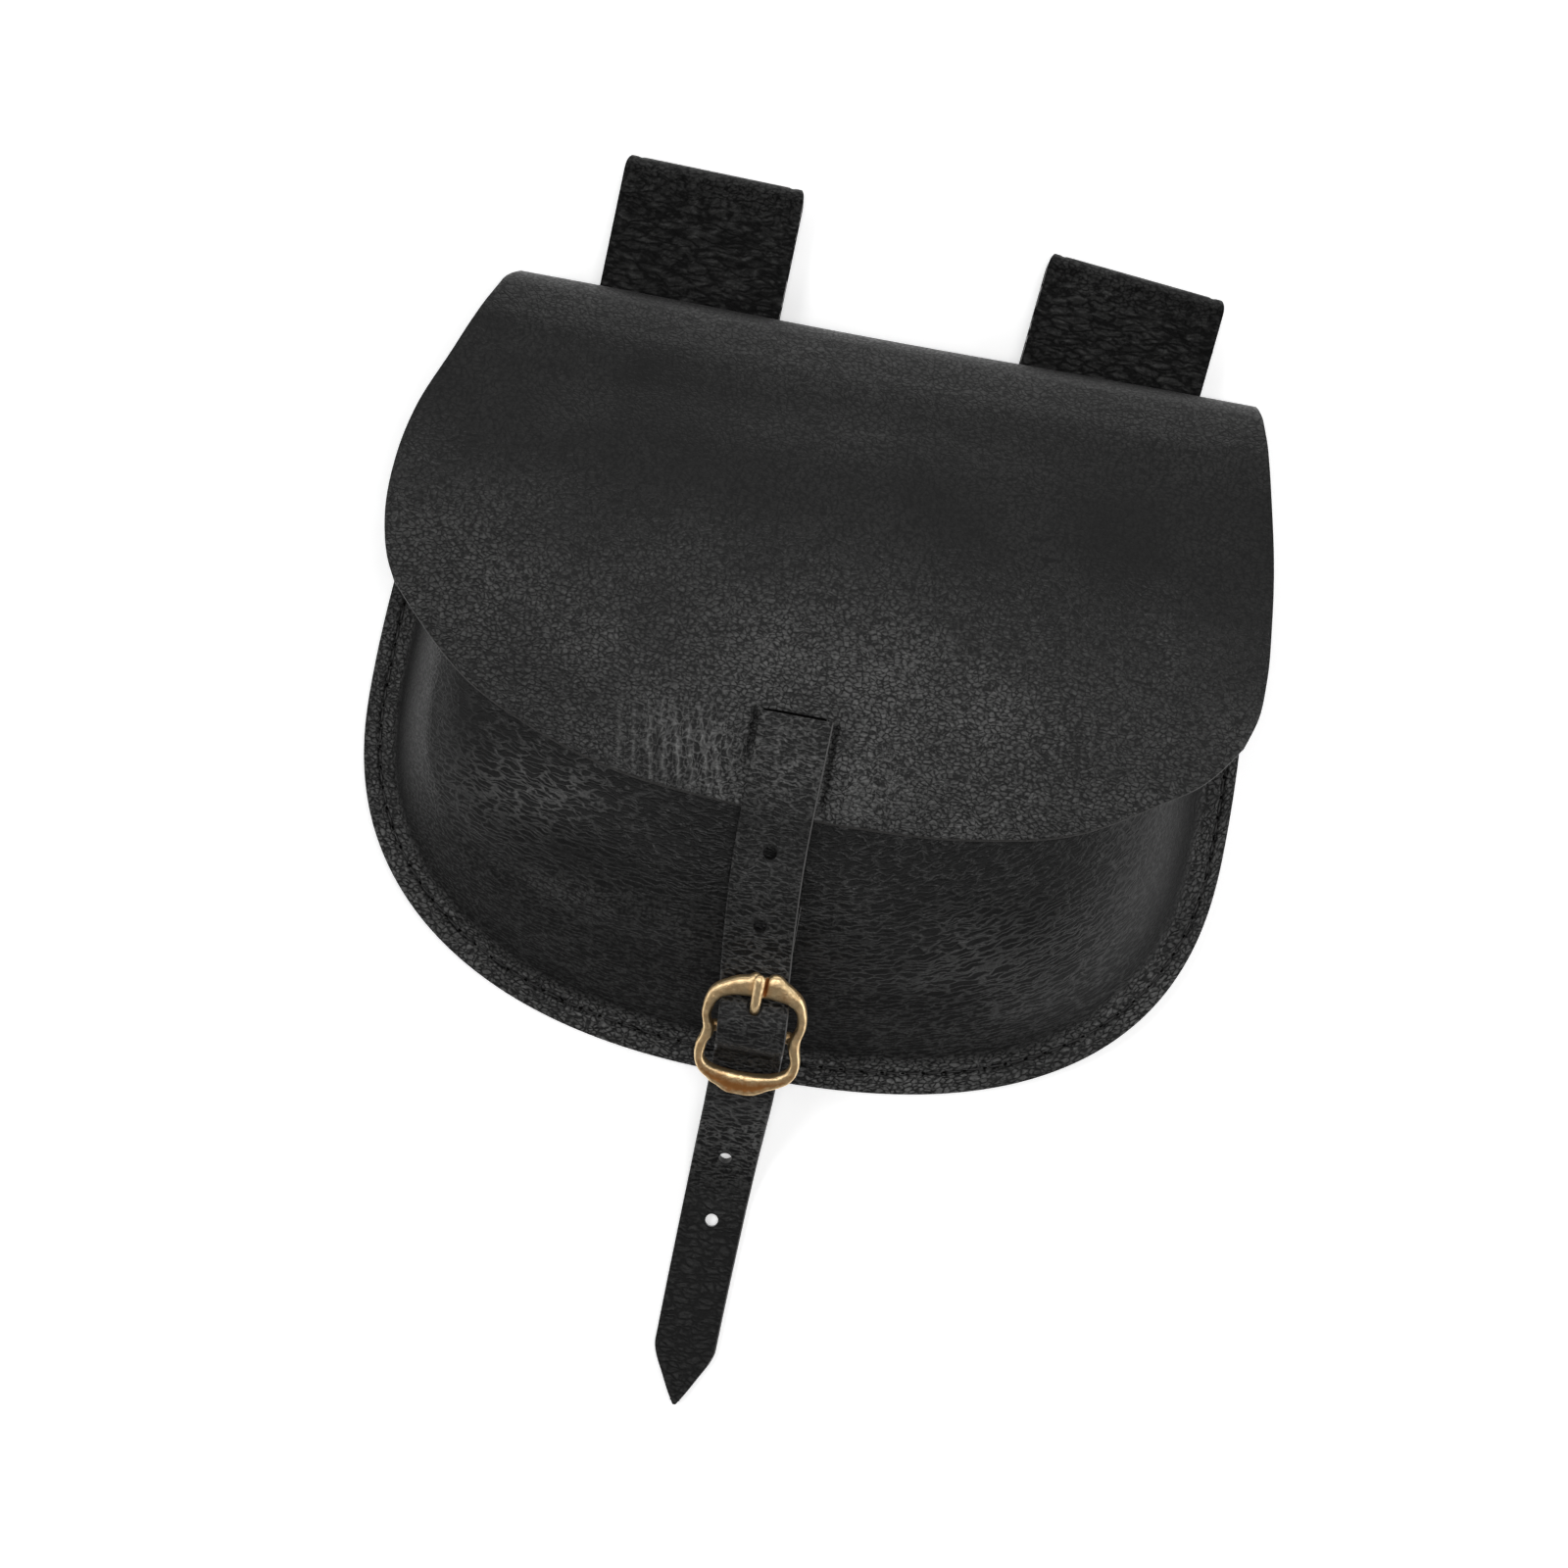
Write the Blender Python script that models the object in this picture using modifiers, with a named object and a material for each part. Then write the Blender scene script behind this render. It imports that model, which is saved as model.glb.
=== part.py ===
"""A black leather belt pouch lying on its back, face up, with its strap buckled.

Metres, +Z up. +X is the right-hand side as one looks down on the flap, and +Y points over the fold to the
belt loops. The origin is on the flat underside of the back, level with the widest line of the body.
"""
import math
from collections import namedtuple

import bmesh
import bpy
import numpy as np
from mathutils import Matrix, Vector

MM = 0.001

# Leather, and the gaps between pieces that touch
LEATHER = 2.2 * MM
LOOP_LEATHER = 2.0 * MM
STRAP_LEATHER = 2.0 * MM
TAB_LEATHER = 1.2 * MM
CLEARANCE = 0.3 * MM
FLAP_SLACK = 0.9 * MM

# Body, seen from above
BODY_WIDTH = 216.0 * MM
BODY_DEPTH = 79.5 * MM
BODY_RISE = 105.0 * MM
FOLD_WIDTH = 183.0 * MM
ROUNDNESS_LEFT = 2.36
ROUNDNESS_RIGHT = 2.55
FLANGE = 7.0 * MM

# Front panel, seen from the side
BULGE = 44.5 * MM
SIDE_DROOP = 8.0 * MM
DROOP_POWER = 2.5
WALL_RUN_LEFT = 12.0 * MM
WALL_RUN_RIGHT = 18.0 * MM
WALL_RUN_BOTTOM = 21.0 * MM
SPINE_BELOW = 26.0 * MM

# Flap
FLAP_REACH = 13.8 * MM
FLAP_CORNER_RISE = 24.1 * MM
FOLD_NOSE = 9.0 * MM
FOLD_SAG = 0.6 * MM
FOLD_TURN = (math.radians(-90.0), math.radians(56.0))

# Belt loops
LOOP_WIDTH = 45.0 * MM
LOOP_REACH_LEFT = 35.0 * MM
LOOP_REACH_RIGHT = 28.5 * MM
LOOP_LEFT_X = -46.5 * MM
LOOP_RIGHT_X = 61.0 * MM
LOOP_LEFT_TURN = math.radians(-1.3)
LOOP_RIGHT_TURN = math.radians(-5.3)
LOOP_FOOT = 47.0 * MM
LOOP_LAP = 19.0 * MM
BELT_GAP = 5.2 * MM

# Closing strap
STRAP_WIDTH = 17.4 * MM
STRAP_TOP_RISE = 10.0 * MM
STRAP_TAIL = 84.0 * MM
STRAP_POINT = 14.5 * MM
STRAP_SETTLE = 31.0 * MM
HOLE_DIAMETER = 3.2 * MM
PRONG_SLOT = 7.4 * MM

# Buckle, in its own plane. The window in the frame is what the bars and rails leave.
BUCKLE_WIDTH = 25.8 * MM
BUCKLE_LENGTH = 33.8 * MM
BUCKLE_THICKNESS = 3.4 * MM
BUCKLE_EDGE = 0.7 * MM
BUCKLE_TILT = math.radians(24.0)
BUCKLE_BELOW = 66.9 * MM
TOP_BAR = 6.4 * MM
BOTTOM_BAR = 6.4 * MM
RAIL = 3.0 * MM
WINDOW_CORNER = 1.0 * MM
BAR_DIAMETER = 2.8 * MM
BAR_DROP = 1.3 * MM
BAR_INTO_RAIL = 0.3

# Prong on the bar
PRONG_DIAMETER = 2.0 * MM
PRONG_EYE_SHARE = 0.6
PRONG_ASIDE = -0.4 * MM
PRONG_TURN = (math.radians(350.0), math.radians(90.0))

# Tab that holds the bar to the front
TAB_WIDTH = 12.4 * MM
TAB_SLOT = 3.8 * MM
TAB_TOP_BELOW = 34.0 * MM
TAB_ROOM = 1.0 * MM
TAB_SEAT = 0.6 * MM
TAB_TURN = (math.radians(265.0), math.radians(60.0))

# Mesh fineness
MERGE = 0.00001
ACROSS_CELLS = 26
FLAP_CELLS = 13
NOSE_CELLS = 8
BOTTOM_CELLS = 10
EYE_CELLS = 10
LOOP_CELLS = (7, 8, 5)
STRAP_CELLS = (11, 21, 13)
ROUND_SIDES = 12
CUT_DEPTH = 9.0 * MM

HALF_WIDTH = BODY_WIDTH / 2
LOOP_SEAT = LOOP_LEATHER + CLEARANCE
LOOP_STACK = 2 * LOOP_LEATHER + BELT_GAP + CLEARANCE
TAB_STACK = 2 * TAB_LEATHER + CLEARANCE

# Crown of the front along its middle. up: share of the body's rise, or of its depth where negative.
# height: share of the bulge. The wall's profile below brings it down to the flange.
Crown = namedtuple("Crown", "up height")
CROWN = (
    Crown(-1.00, 0.72),
    Crown(-0.65, 0.77),
    Crown(-0.44, 0.83),
    Crown(-0.16, 0.93),
    Crown(0.02, 0.98),
    Crown(0.17, 1.00),
    Crown(0.34, 0.97),
    Crown(0.50, 0.92),
    Crown(0.76, 0.74),
    Crown(0.92, 0.61),
    Crown(1.00, 0.46),
)

# Wall between flange and crown. run: share of the wall's run in plan. height: share of the full height.
Wall = namedtuple("Wall", "run height")
WALL = (
    Wall(0.00, 0.00),
    Wall(0.15, 0.11),
    Wall(0.35, 0.30),
    Wall(0.60, 0.53),
    Wall(0.85, 0.70),
    Wall(1.00, 0.77),
    Wall(1.35, 0.88),
    Wall(1.80, 0.955),
    Wall(2.40, 0.99),
    Wall(3.20, 1.00),
)
WALL_RINGS = (0.15, 0.35, 0.60, 0.85, 1.0)
CROWN_RINGS = (0.09, 0.20, 0.34, 0.52, 0.75, 1.0)

# The back's way up, as shares of the body's rise. It is level up to the first ramp, lies on the loops'
# feet after it, and clears their whole stack after the second. The front's mouth is at MOUTH_SHARE.
SEAT_RAMP = (0.31, 0.43)
STACK_RAMP = (0.56, 0.77)
MOUTH_SHARE = 0.84
RAMP_CELLS = 4

# Sides of the flap. up: share of the body's rise. left, right: shares of the body's half-width.
Side = namedtuple("Side", "up left right")
FLAP_SIDES = (
    Side(0.195, 0.930, 0.952),
    Side(0.230, 0.948, 0.964),
    Side(0.275, 0.971, 0.977),
    Side(0.365, 0.996, 0.982),
    Side(0.500, 1.001, 0.972),
    Side(0.635, 0.977, 0.954),
    Side(0.770, 0.927, 0.928),
    Side(0.862, 0.892, 0.908),
    Side(0.925, 0.866, 0.893),
    Side(0.965, 0.846, 0.880),
    Side(1.000, 0.815, 0.865),
)

# Lower edge of the flap. across: share from the middle to a corner. lift: share of the corner's height
# above the lowest point of the edge.
Edge = namedtuple("Edge", "across lift")
FLAP_EDGE = (
    Edge(-1.00, 1.00),
    Edge(-0.93, 0.80),
    Edge(-0.82, 0.53),
    Edge(-0.62, 0.25),
    Edge(-0.45, 0.106),
    Edge(-0.14, 0.013),
    Edge(0.16, 0.00),
    Edge(0.43, 0.06),
    Edge(0.68, 0.24),
    Edge(0.82, 0.47),
    Edge(0.95, 0.74),
    Edge(1.00, 0.93),
)

# Soft folds. across, up: shares of the half-width and of the rise, or of the depth where negative.
# turn: degrees from +X. length, width: shares of the body's width. height: share of the leather.
Fold = namedtuple("Fold", "across up turn length width height")
FLAP_FOLDS = (
    Fold(-0.34, -0.02, 82, 0.070, 0.022, 0.34),
    Fold(-0.22, 0.01, 88, 0.060, 0.020, 0.30),
    Fold(0.24, 0.02, 95, 0.060, 0.022, 0.25),
    Fold(-0.78, 0.42, 60, 0.090, 0.040, 0.45),
    Fold(-0.62, 0.60, 40, 0.080, 0.040, 0.30),
    Fold(0.80, 0.40, 110, 0.090, 0.040, 0.30),
    Fold(0.10, 0.72, 4, 0.300, 0.045, 0.35),
)
FRONT_FOLDS = (
    Fold(-0.62, -0.34, 12, 0.080, 0.026, 0.40),
    Fold(-0.52, -0.50, -22, 0.090, 0.028, -0.45),
    Fold(-0.34, -0.36, -8, 0.080, 0.026, 0.30),
    Fold(0.44, -0.40, 14, 0.100, 0.028, -0.45),
    Fold(0.62, -0.30, 30, 0.090, 0.028, 0.40),
    Fold(0.28, -0.58, 16, 0.080, 0.026, 0.30),
)

# Strap in plan. down: share of its length from the sewn end. aside: share of its width to the right.
# width: share of its full width.
Run = namedtuple("Run", "down aside width")
STRAP_RUN = (
    Run(0.00, -0.135, 1.000),
    Run(0.20, -0.155, 0.990),
    Run(0.32, -0.075, 0.975),
    Run(0.43, 0.040, 0.960),
    Run(0.52, 0.040, 0.950),
    Run(0.66, 0.000, 0.925),
    Run(0.92, -0.070, 0.885),
    Run(1.00, -0.080, 0.880),
)

# Pointed end. back: share of the point's length back from the tip. width: share of the width there.
Point = namedtuple("Point", "back width")
STRAP_TIP = (Point(0.0, 0.06), Point(0.14, 0.27), Point(0.48, 0.62), Point(0.85, 0.93), Point(1.0, 1.0))

# Punched holes, measured along the strap from the prong's hole
HOLE_STEPS = (-44.2 * MM, -26.2 * MM, 21.0 * MM, 47.6 * MM, 66.0 * MM)

# Where the prong comes through the strap and the strap crosses the buckle, as shares
PRONG_COMES_UP = 0.27
STRAP_AT_BUCKLE = 0.475

# Prong from its eye to its tip. to_bar: share of the way to the top bar. over_bar: share of that bar.
# lift: share of the way up to where it rests. width: share of its diameter.
Prong = namedtuple("Prong", "to_bar over_bar lift width")
PRONG_RUN = (
    Prong(0.22, 0.00, 0.10, 0.85),
    Prong(0.45, 0.00, 0.87, 1.00),
    Prong(0.80, 0.00, 1.10, 1.00),
    Prong(1.00, 0.48, 1.00, 0.95),
    Prong(1.00, 0.95, 0.93, 0.72),
)

# Right half of an edge of the buckle, from its top to its bottom, as shares of half the width and length
Outline = namedtuple("Outline", "across along")
BUCKLE_OUTLINE = (
    Outline(0.00, 0.905),
    Outline(0.09, 0.950),
    Outline(0.21, 0.998),
    Outline(0.34, 0.985),
    Outline(0.45, 0.925),
    Outline(0.58, 0.865),
    Outline(0.74, 0.775),
    Outline(0.87, 0.660),
    Outline(0.95, 0.510),
    Outline(0.98, 0.310),
    Outline(0.955, 0.130),
    Outline(0.92, 0.000),
    Outline(0.94, -0.110),
    Outline(0.985, -0.230),
    Outline(1.00, -0.390),
    Outline(0.97, -0.530),
    Outline(0.885, -0.650),
    Outline(0.77, -0.740),
    Outline(0.62, -0.820),
    Outline(0.46, -0.885),
    Outline(0.35, -0.945),
    Outline(0.22, -0.985),
    Outline(0.00, -1.000),
)
WINDOW_OUTLINE = (
    Outline(0.00, 1.00),
    Outline(0.62, 1.00),
    Outline(0.82, 0.95),
    Outline(0.95, 0.82),
    Outline(1.00, 0.63),
    Outline(1.00, 0.22),
    Outline(0.88, 0.10),
    Outline(0.88, -0.20),
    Outline(1.00, -0.32),
    Outline(1.00, -0.63),
    Outline(0.95, -0.82),
    Outline(0.82, -0.95),
    Outline(0.62, -1.00),
    Outline(0.00, -1.00),
)

Finish = namedtuple("Finish", "name colour roughness metallic")
BLACK_LEATHER = Finish("black_leather", (0.018, 0.017, 0.016), 0.48, 0.0)
BRASS = Finish("cast_brass", (0.58, 0.36, 0.14), 0.34, 1.0)


def clear_scene():
    """Remove every object that the scene starts with."""
    for old in list(bpy.data.objects):
        bpy.data.objects.remove(old, do_unlink=True)


def new_collection(name):
    """Make a collection in the scene."""
    collection = bpy.data.collections.new(name)
    bpy.context.scene.collection.children.link(collection)
    return collection


def new_material(piece, finish):
    """Make a Principled material for one piece."""
    material = bpy.data.materials.new(f"{finish.name}_{piece}")
    material.use_nodes = True
    shader = material.node_tree.nodes["Principled BSDF"]
    shader.inputs["Base Color"].default_value = (*finish.colour, 1.0)
    shader.inputs["Roughness"].default_value = finish.roughness
    shader.inputs["Metallic"].default_value = finish.metallic
    return material


def add_piece(name, mesh, finish, collection):
    """Put a mesh in the pouch's collection as one named piece."""
    piece = bpy.data.objects.new(name, mesh)
    mesh.materials.clear()
    mesh.materials.append(new_material(name, finish))
    collection.objects.link(piece)
    return piece


def add_cutter(name, mesh, collection):
    """Put a mesh among the cutters, out of every render."""
    cutter = bpy.data.objects.new(name, mesh)
    cutter.hide_render = True
    cutter.display_type = "WIRE"
    collection.objects.link(cutter)
    return cutter


def cut(piece, cutter, operation="DIFFERENCE"):
    """Cut a piece by another mesh, or join it on."""
    boolean = piece.modifiers.new(cutter.name, "BOOLEAN")
    boolean.operation = operation
    boolean.solver = "EXACT"
    boolean.object = cutter


def curve_through(rows, column):
    """Smooth function through one column of a table, against its first column."""
    xs = np.array([row[0] for row in rows], float)
    ys = np.array([getattr(row, column) for row in rows], float)
    steps = np.diff(xs)
    slopes = np.diff(ys) / steps
    inner = (slopes[:-1] * steps[1:] + slopes[1:] * steps[:-1]) / (steps[:-1] + steps[1:])
    tangents = np.concatenate(([slopes[0]], inner, [slopes[-1]]))

    def value(x):
        """Value of the curve at x, held at the ends."""
        x = min(max(x, xs[0]), xs[-1])
        i = min(int(np.searchsorted(xs, x, side="right")) - 1, len(steps) - 1)
        t = (x - xs[i]) / steps[i]
        blend = t * t * (3 - 2 * t)
        rise = tangents[i] * t * (1 - t) ** 2 - tangents[i + 1] * t * t * (1 - t)
        return float(ys[i] * (1 - blend) + ys[i + 1] * blend + rise * steps[i])

    return value


def ramp(value, start, end):
    """Go smoothly from 0 at start to 1 at end."""
    share = min(max((value - start) / (end - start), 0.0), 1.0)
    return share * share * (3 - 2 * share)


def share_up(y):
    """Height on the body as a share of its rise, or of its depth where negative."""
    return y / BODY_RISE if y > 0 else y / BODY_DEPTH


def slope_factor(function, y):
    """How much longer a sloping wall is, measured upright, than its thickness."""
    step = 0.5 * MM
    slope = (function(y + step) - function(y - step)) / (2 * step)
    return math.sqrt(1 + slope * slope)


crown_height = curve_through(CROWN, "height")
wall_height = curve_through(WALL, "height")
flap_left = curve_through(FLAP_SIDES, "left")
flap_right = curve_through(FLAP_SIDES, "right")
flap_lift = curve_through(FLAP_EDGE, "lift")
strap_aside = curve_through(STRAP_RUN, "aside")
strap_share = curve_through(STRAP_RUN, "width")
tip_share = curve_through(STRAP_TIP, "width")


def roundness(side):
    """Exponent of the superellipse that draws the lower outline, on the left where side is negative."""
    return ROUNDNESS_LEFT if side < 0 else ROUNDNESS_RIGHT


def body_half_width(y, side):
    """Half the width of the back, and of the front's flange, at a height on the body."""
    if y < 0:
        down = min(-y / BODY_DEPTH, 1.0)
        return HALF_WIDTH * (1 - down ** roundness(side)) ** (1 / roundness(side))
    return HALF_WIDTH - (HALF_WIDTH - FOLD_WIDTH / 2) * (y / BODY_RISE) ** 2


def back_under(y):
    """Height of the back's underside: on the ground, then up over the loops' feet and their stack."""
    up = share_up(y)
    return LOOP_SEAT * ramp(up, *SEAT_RAMP) + (LOOP_STACK - LOOP_SEAT) * ramp(up, *STACK_RAMP)


def flange_top(y):
    """Height of the flange's upper side, two walls and a gap above the back's underside."""
    return back_under(y) + (2 * LEATHER + CLEARANCE) * slope_factor(back_under, y)


def crown_top(x, y):
    """Height of the crown's upper side, which droops towards the sides, before folds and walls."""
    towards_fold = min(max((1 - y / BODY_RISE) * 2, 0.0), 1.0)
    droop = SIDE_DROOP * (abs(x) / HALF_WIDTH) ** DROOP_POWER * towards_fold
    return BULGE * crown_height(share_up(y)) - droop


def folds_at(folds, x, y):
    """Height that a table of soft folds adds at a point."""
    total = 0.0
    for fold in folds:
        turn = math.radians(fold.turn)
        dx = x - fold.across * HALF_WIDTH
        dy = y - fold.up * (BODY_RISE if fold.up > 0 else BODY_DEPTH)
        along = (dx * math.cos(turn) + dy * math.sin(turn)) / (fold.length * BODY_WIDTH)
        aside = (dy * math.cos(turn) - dx * math.sin(turn)) / (fold.width * BODY_WIDTH)
        total += fold.height * LEATHER * math.exp(-along * along - aside * aside)
    return total


def front_top(x, y, run_share):
    """Height of the front's upper side. run_share is the way in from the flange over the wall's run."""
    low = flange_top(y)
    soft = folds_at(FRONT_FOLDS, x, y) * ramp(run_share, 0.0, 1.0)
    return low + (crown_top(x, y) + soft - low) * wall_height(run_share)


def front_middle(y):
    """Height of the front's upper side along the middle."""
    inset = BODY_DEPTH + y - FLANGE
    return front_top(0.0, y, inset / WALL_RUN_BOTTOM)


def flap_top(x, y):
    """Height of the flap's upper side, which lies on the crown."""
    return crown_top(x, y) + LEATHER + FLAP_SLACK + folds_at(FLAP_FOLDS, x, y)


def flap_edge(across):
    """How far up the flap's lower edge is, at a share of the way from its middle to a corner."""
    return -FLAP_REACH + flap_lift(across) * (FLAP_CORNER_RISE + FLAP_REACH)


def flap_half_width(y, across):
    """Half the flap's width on the side that across points to, at a height on the body."""
    side = flap_left if across < 0 else flap_right
    return HALF_WIDTH * side(y / BODY_RISE)


def sheet(name, rows, wall, finish, collection, offset=-1.0):
    """Leather piece: a grid laid along rows of points, given its wall by Solidify."""
    along, across = len(rows) - 1, len(rows[0]) - 1
    bm = bmesh.new()
    bmesh.ops.create_grid(bm, x_segments=across, y_segments=along, size=1.0)
    for vertex in bm.verts:
        column = round((vertex.co.x + 1) / 2 * across)
        row = round((vertex.co.y + 1) / 2 * along)
        vertex.co = rows[row][column]
    bmesh.ops.remove_doubles(bm, verts=bm.verts, dist=MERGE)
    mesh = bpy.data.meshes.new(name)
    bm.to_mesh(mesh)
    bm.free()
    mesh.shade_smooth()
    piece = add_piece(name, mesh, finish, collection)
    solidify = piece.modifiers.new("wall", "SOLIDIFY")
    solidify.thickness = wall
    solidify.offset = offset
    solidify.use_even_offset = True
    return piece


def superellipse(angle):
    """Point on the body's lower outline, from the left side at 0 through the bottom to the right side."""
    cosine, sine = math.cos(angle), math.sin(angle)
    power = 2 / roundness(-cosine)
    x = -math.copysign(HALF_WIDTH * abs(cosine) ** power, cosine)
    return Vector((x, -BODY_DEPTH * sine ** power, 0.0))


def inward(angle):
    """Direction into the body, square to its lower outline."""
    step = 0.01
    along = superellipse(min(angle + step, math.pi)) - superellipse(max(angle - step, 0.0))
    return Vector((-along.y, along.x, 0.0)).normalized()


def across_shares():
    """Shares from the right edge to the left edge, closer together near the edges."""
    shares = np.linspace(1.0, -1.0, ACROSS_CELLS + 1)
    return shares * (1.12 - 0.12 * shares ** 2)


def side_rows():
    """Heights on the body at which both the back and the front have a row, up to the front's mouth."""
    seat, stack = SEAT_RAMP, STACK_RAMP
    shares = (
        *np.linspace(0.0, seat[0], 4)[:-1],
        *np.linspace(*seat, RAMP_CELLS + 1),
        0.5 * (seat[1] + stack[0]),
        *np.linspace(*stack, RAMP_CELLS + 2),
        0.5 * (stack[1] + MOUTH_SHARE),
        MOUTH_SHARE,
    )
    return [float(share) * BODY_RISE for share in shares]


def back_rows():
    """Rows of the back's underside, from the bottom of the U up to where the fold starts."""
    heights = []
    for step in range(BOTTOM_CELLS):
        angle = math.pi / 2 * (1 - (step + 0.45) / (BOTTOM_CELLS + 0.45))
        heights.append(superellipse(angle).y)
    rows = []
    for y in heights + side_rows():
        under = back_under(y)
        rows.append([Vector((share * body_half_width(y, share), y, under)) for share in across_shares()])
    return rows


def nose_rows():
    """Rows round the fold: a half ellipse from the back's underside to the flap, rounded at its ends."""
    start = BODY_RISE - FOLD_NOSE
    low = LOOP_STACK
    high = flap_top(0.0, start)
    rows = []
    for angle in np.linspace(*FOLD_TURN, NOSE_CELLS + 1):
        out = math.cos(angle)
        height = (low + high) / 2 + (high - low) / 2 * math.sin(angle)
        row = []
        for share in across_shares():
            sag = FOLD_SAG * out * math.cos(share * math.pi / 2) ** 2
            y = start + FOLD_NOSE * out - sag
            upper = ramp(math.sin(angle), -1.0, 0.3)
            back_side = body_half_width(start, share)
            front_side = flap_half_width(start + FOLD_NOSE * out, share)
            side = back_side + (front_side - back_side) * upper
            droop = (flap_top(0.0, start) - flap_top(share * side, start)) * upper
            row.append(Vector((share * side, y, height - droop)))
        rows.append(row)
    return rows


def flap_rows():
    """Rows of the flap, from the fold down to its lower edge."""
    start = BODY_RISE - FOLD_NOSE
    rows = []
    for share_down in np.linspace(0.0, 1.0, FLAP_CELLS + 1):
        down = share_down * (1.1 - 0.1 * share_down)
        row = []
        for share in across_shares():
            y_end = start + (flap_edge(math.copysign(1.0, share)) - start) * down
            y = start + (flap_edge(share) - start) * down
            x = share * flap_half_width(y_end, share)
            row.append(Vector((x, y, flap_top(x, y))))
        rows.append(row)
    return rows


def make_back_and_flap(collection):
    """One piece of leather: the U-shaped back, the fold over the top and the flap."""
    rows = back_rows() + nose_rows() + flap_rows()
    return sheet("back_and_flap", rows, LEATHER, BLACK_LEATHER, collection)


def front_spokes():
    """Feet, directions, wall runs and inner ends of the front's sections, from the left of the mouth."""
    spokes = []
    for y in reversed(side_rows()):
        foot = Vector((-body_half_width(y, -1), y, 0.0))
        spokes.append((foot, Vector((1.0, 0.0, 0.0)), WALL_RUN_LEFT, Vector((0.0, y, 0.0))))
    turns = 2 * (BOTTOM_CELLS + 2)
    for turn in range(1, turns):
        angle = math.pi * turn / turns
        side = WALL_RUN_LEFT if turn < turns / 2 else WALL_RUN_RIGHT
        run = side + (WALL_RUN_BOTTOM - side) * math.sin(angle) ** 1.5
        depth = 1 - abs(2 * turn / turns - 1)
        spokes.append((superellipse(angle), inward(angle), run, Vector((0.0, -SPINE_BELOW * depth, 0.0))))
    for y in side_rows():
        foot = Vector((body_half_width(y, 1), y, 0.0))
        spokes.append((foot, Vector((-1.0, 0.0, 0.0)), WALL_RUN_RIGHT, Vector((0.0, y, 0.0))))
    return spokes


def make_front_panel(collection):
    """Pan-shaped front: a flange all round the U, a wall, a crown, and an open mouth under the flap."""
    rings = []
    spokes = front_spokes()
    for inset in (0.0, 0.5 * FLANGE, FLANGE):
        rings.append([foot + direction * inset for foot, direction, run, inner in spokes])
    for ring in rings:
        for point in ring:
            point.z = flange_top(point.y)
    for share in WALL_RINGS:
        ring = []
        for foot, direction, run, inner in spokes:
            point = foot + direction * (FLANGE + share * run)
            point.z = front_top(point.x, point.y, share)
            ring.append(point)
        rings.append(ring)
    for share in CROWN_RINGS:
        ring = []
        for foot, direction, run, inner in spokes:
            shoulder = foot + direction * (FLANGE + run)
            point = shoulder.lerp(inner, share)
            way_in = 1 + (point - shoulder).length / run if share < 1 else WALL[-1].run
            point.z = front_top(point.x, point.y, way_in)
            ring.append(point)
        rings.append(ring)
    return sheet("front_panel", rings, LEATHER, BLACK_LEATHER, collection)


def make_belt_loop(name, middle, reach, turn, collection):
    """Wide strip from its foot under the back, up past the fold, round, and back under the fold."""
    top = BODY_RISE + reach
    radius = (2 * LOOP_LEATHER + BELT_GAP) / 2
    rear, bend, front = LOOP_CELLS
    path = [(y, 0.0) for y in np.linspace(LOOP_FOOT, top - radius, rear + 1)]
    for angle in np.radians(np.linspace(-90, 90, bend + 1))[1:-1]:
        path.append((top - radius + radius * math.cos(angle), radius + radius * math.sin(angle)))
    lap_end = BODY_RISE - LOOP_LAP
    path += [(y, 2 * radius) for y in np.linspace(top - radius, lap_end, front + 1)]
    turned = Matrix.Rotation(turn, 4, "Z")
    pivot = Vector((middle, top, 0.0))
    rows = []
    for y, z in path:
        row = []
        for share in (1.0, 0.5, 0.0, -0.5, -1.0):
            offset = Vector((share * LOOP_WIDTH / 2, y - top, z))
            row.append(pivot + turned @ offset)
        rows.append(row)
    return sheet(name, rows, LOOP_LEATHER, BLACK_LEATHER, collection)


def tab_over_front(y, height):
    """Height of a wall that lies a given height above the front along the middle."""
    return front_middle(y) + height * slope_factor(front_middle, y)


def buckle_matrix():
    """Place of the buckle's plane: its top bar stands clear of the strap and tab on the front."""
    top = BUCKLE_LENGTH / 2 - BUCKLE_EDGE
    world_y = top_of_buckle_y()
    under_strap = tab_over_front(world_y, TAB_SEAT + TAB_STACK + CLEARANCE) + TAB_ROOM
    top_z = under_strap + (STRAP_LEATHER + CLEARANCE + BUCKLE_THICKNESS / 2) / math.cos(BUCKLE_TILT)
    middle = Vector((strap_middle_x(), -BUCKLE_BELOW, top_z - top * math.sin(BUCKLE_TILT)))
    return Matrix.Translation(middle) @ Matrix.Rotation(BUCKLE_TILT, 4, "X")


def top_of_buckle_y():
    """Height on the body of the top bar's outer edge."""
    return -BUCKLE_BELOW + (BUCKLE_LENGTH / 2 - BUCKLE_EDGE) * math.cos(BUCKLE_TILT)


def strap_middle_x():
    """Where the strap's middle crosses the buckle's bar."""
    return strap_aside(STRAP_AT_BUCKLE) * STRAP_WIDTH


def under_top_bar(below):
    """Place in the buckle's plane at the top bar's inner edge, a distance off the strap's underside."""
    along = BUCKLE_LENGTH / 2 - TOP_BAR - WINDOW_CORNER
    return along, below - BUCKLE_THICKNESS / 2 - CLEARANCE - STRAP_LEATHER


def eye_radius():
    """Outer radius of the tab's eye round the bar."""
    return BAR_DIAMETER / 2 + CLEARANCE + TAB_LEATHER


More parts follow.
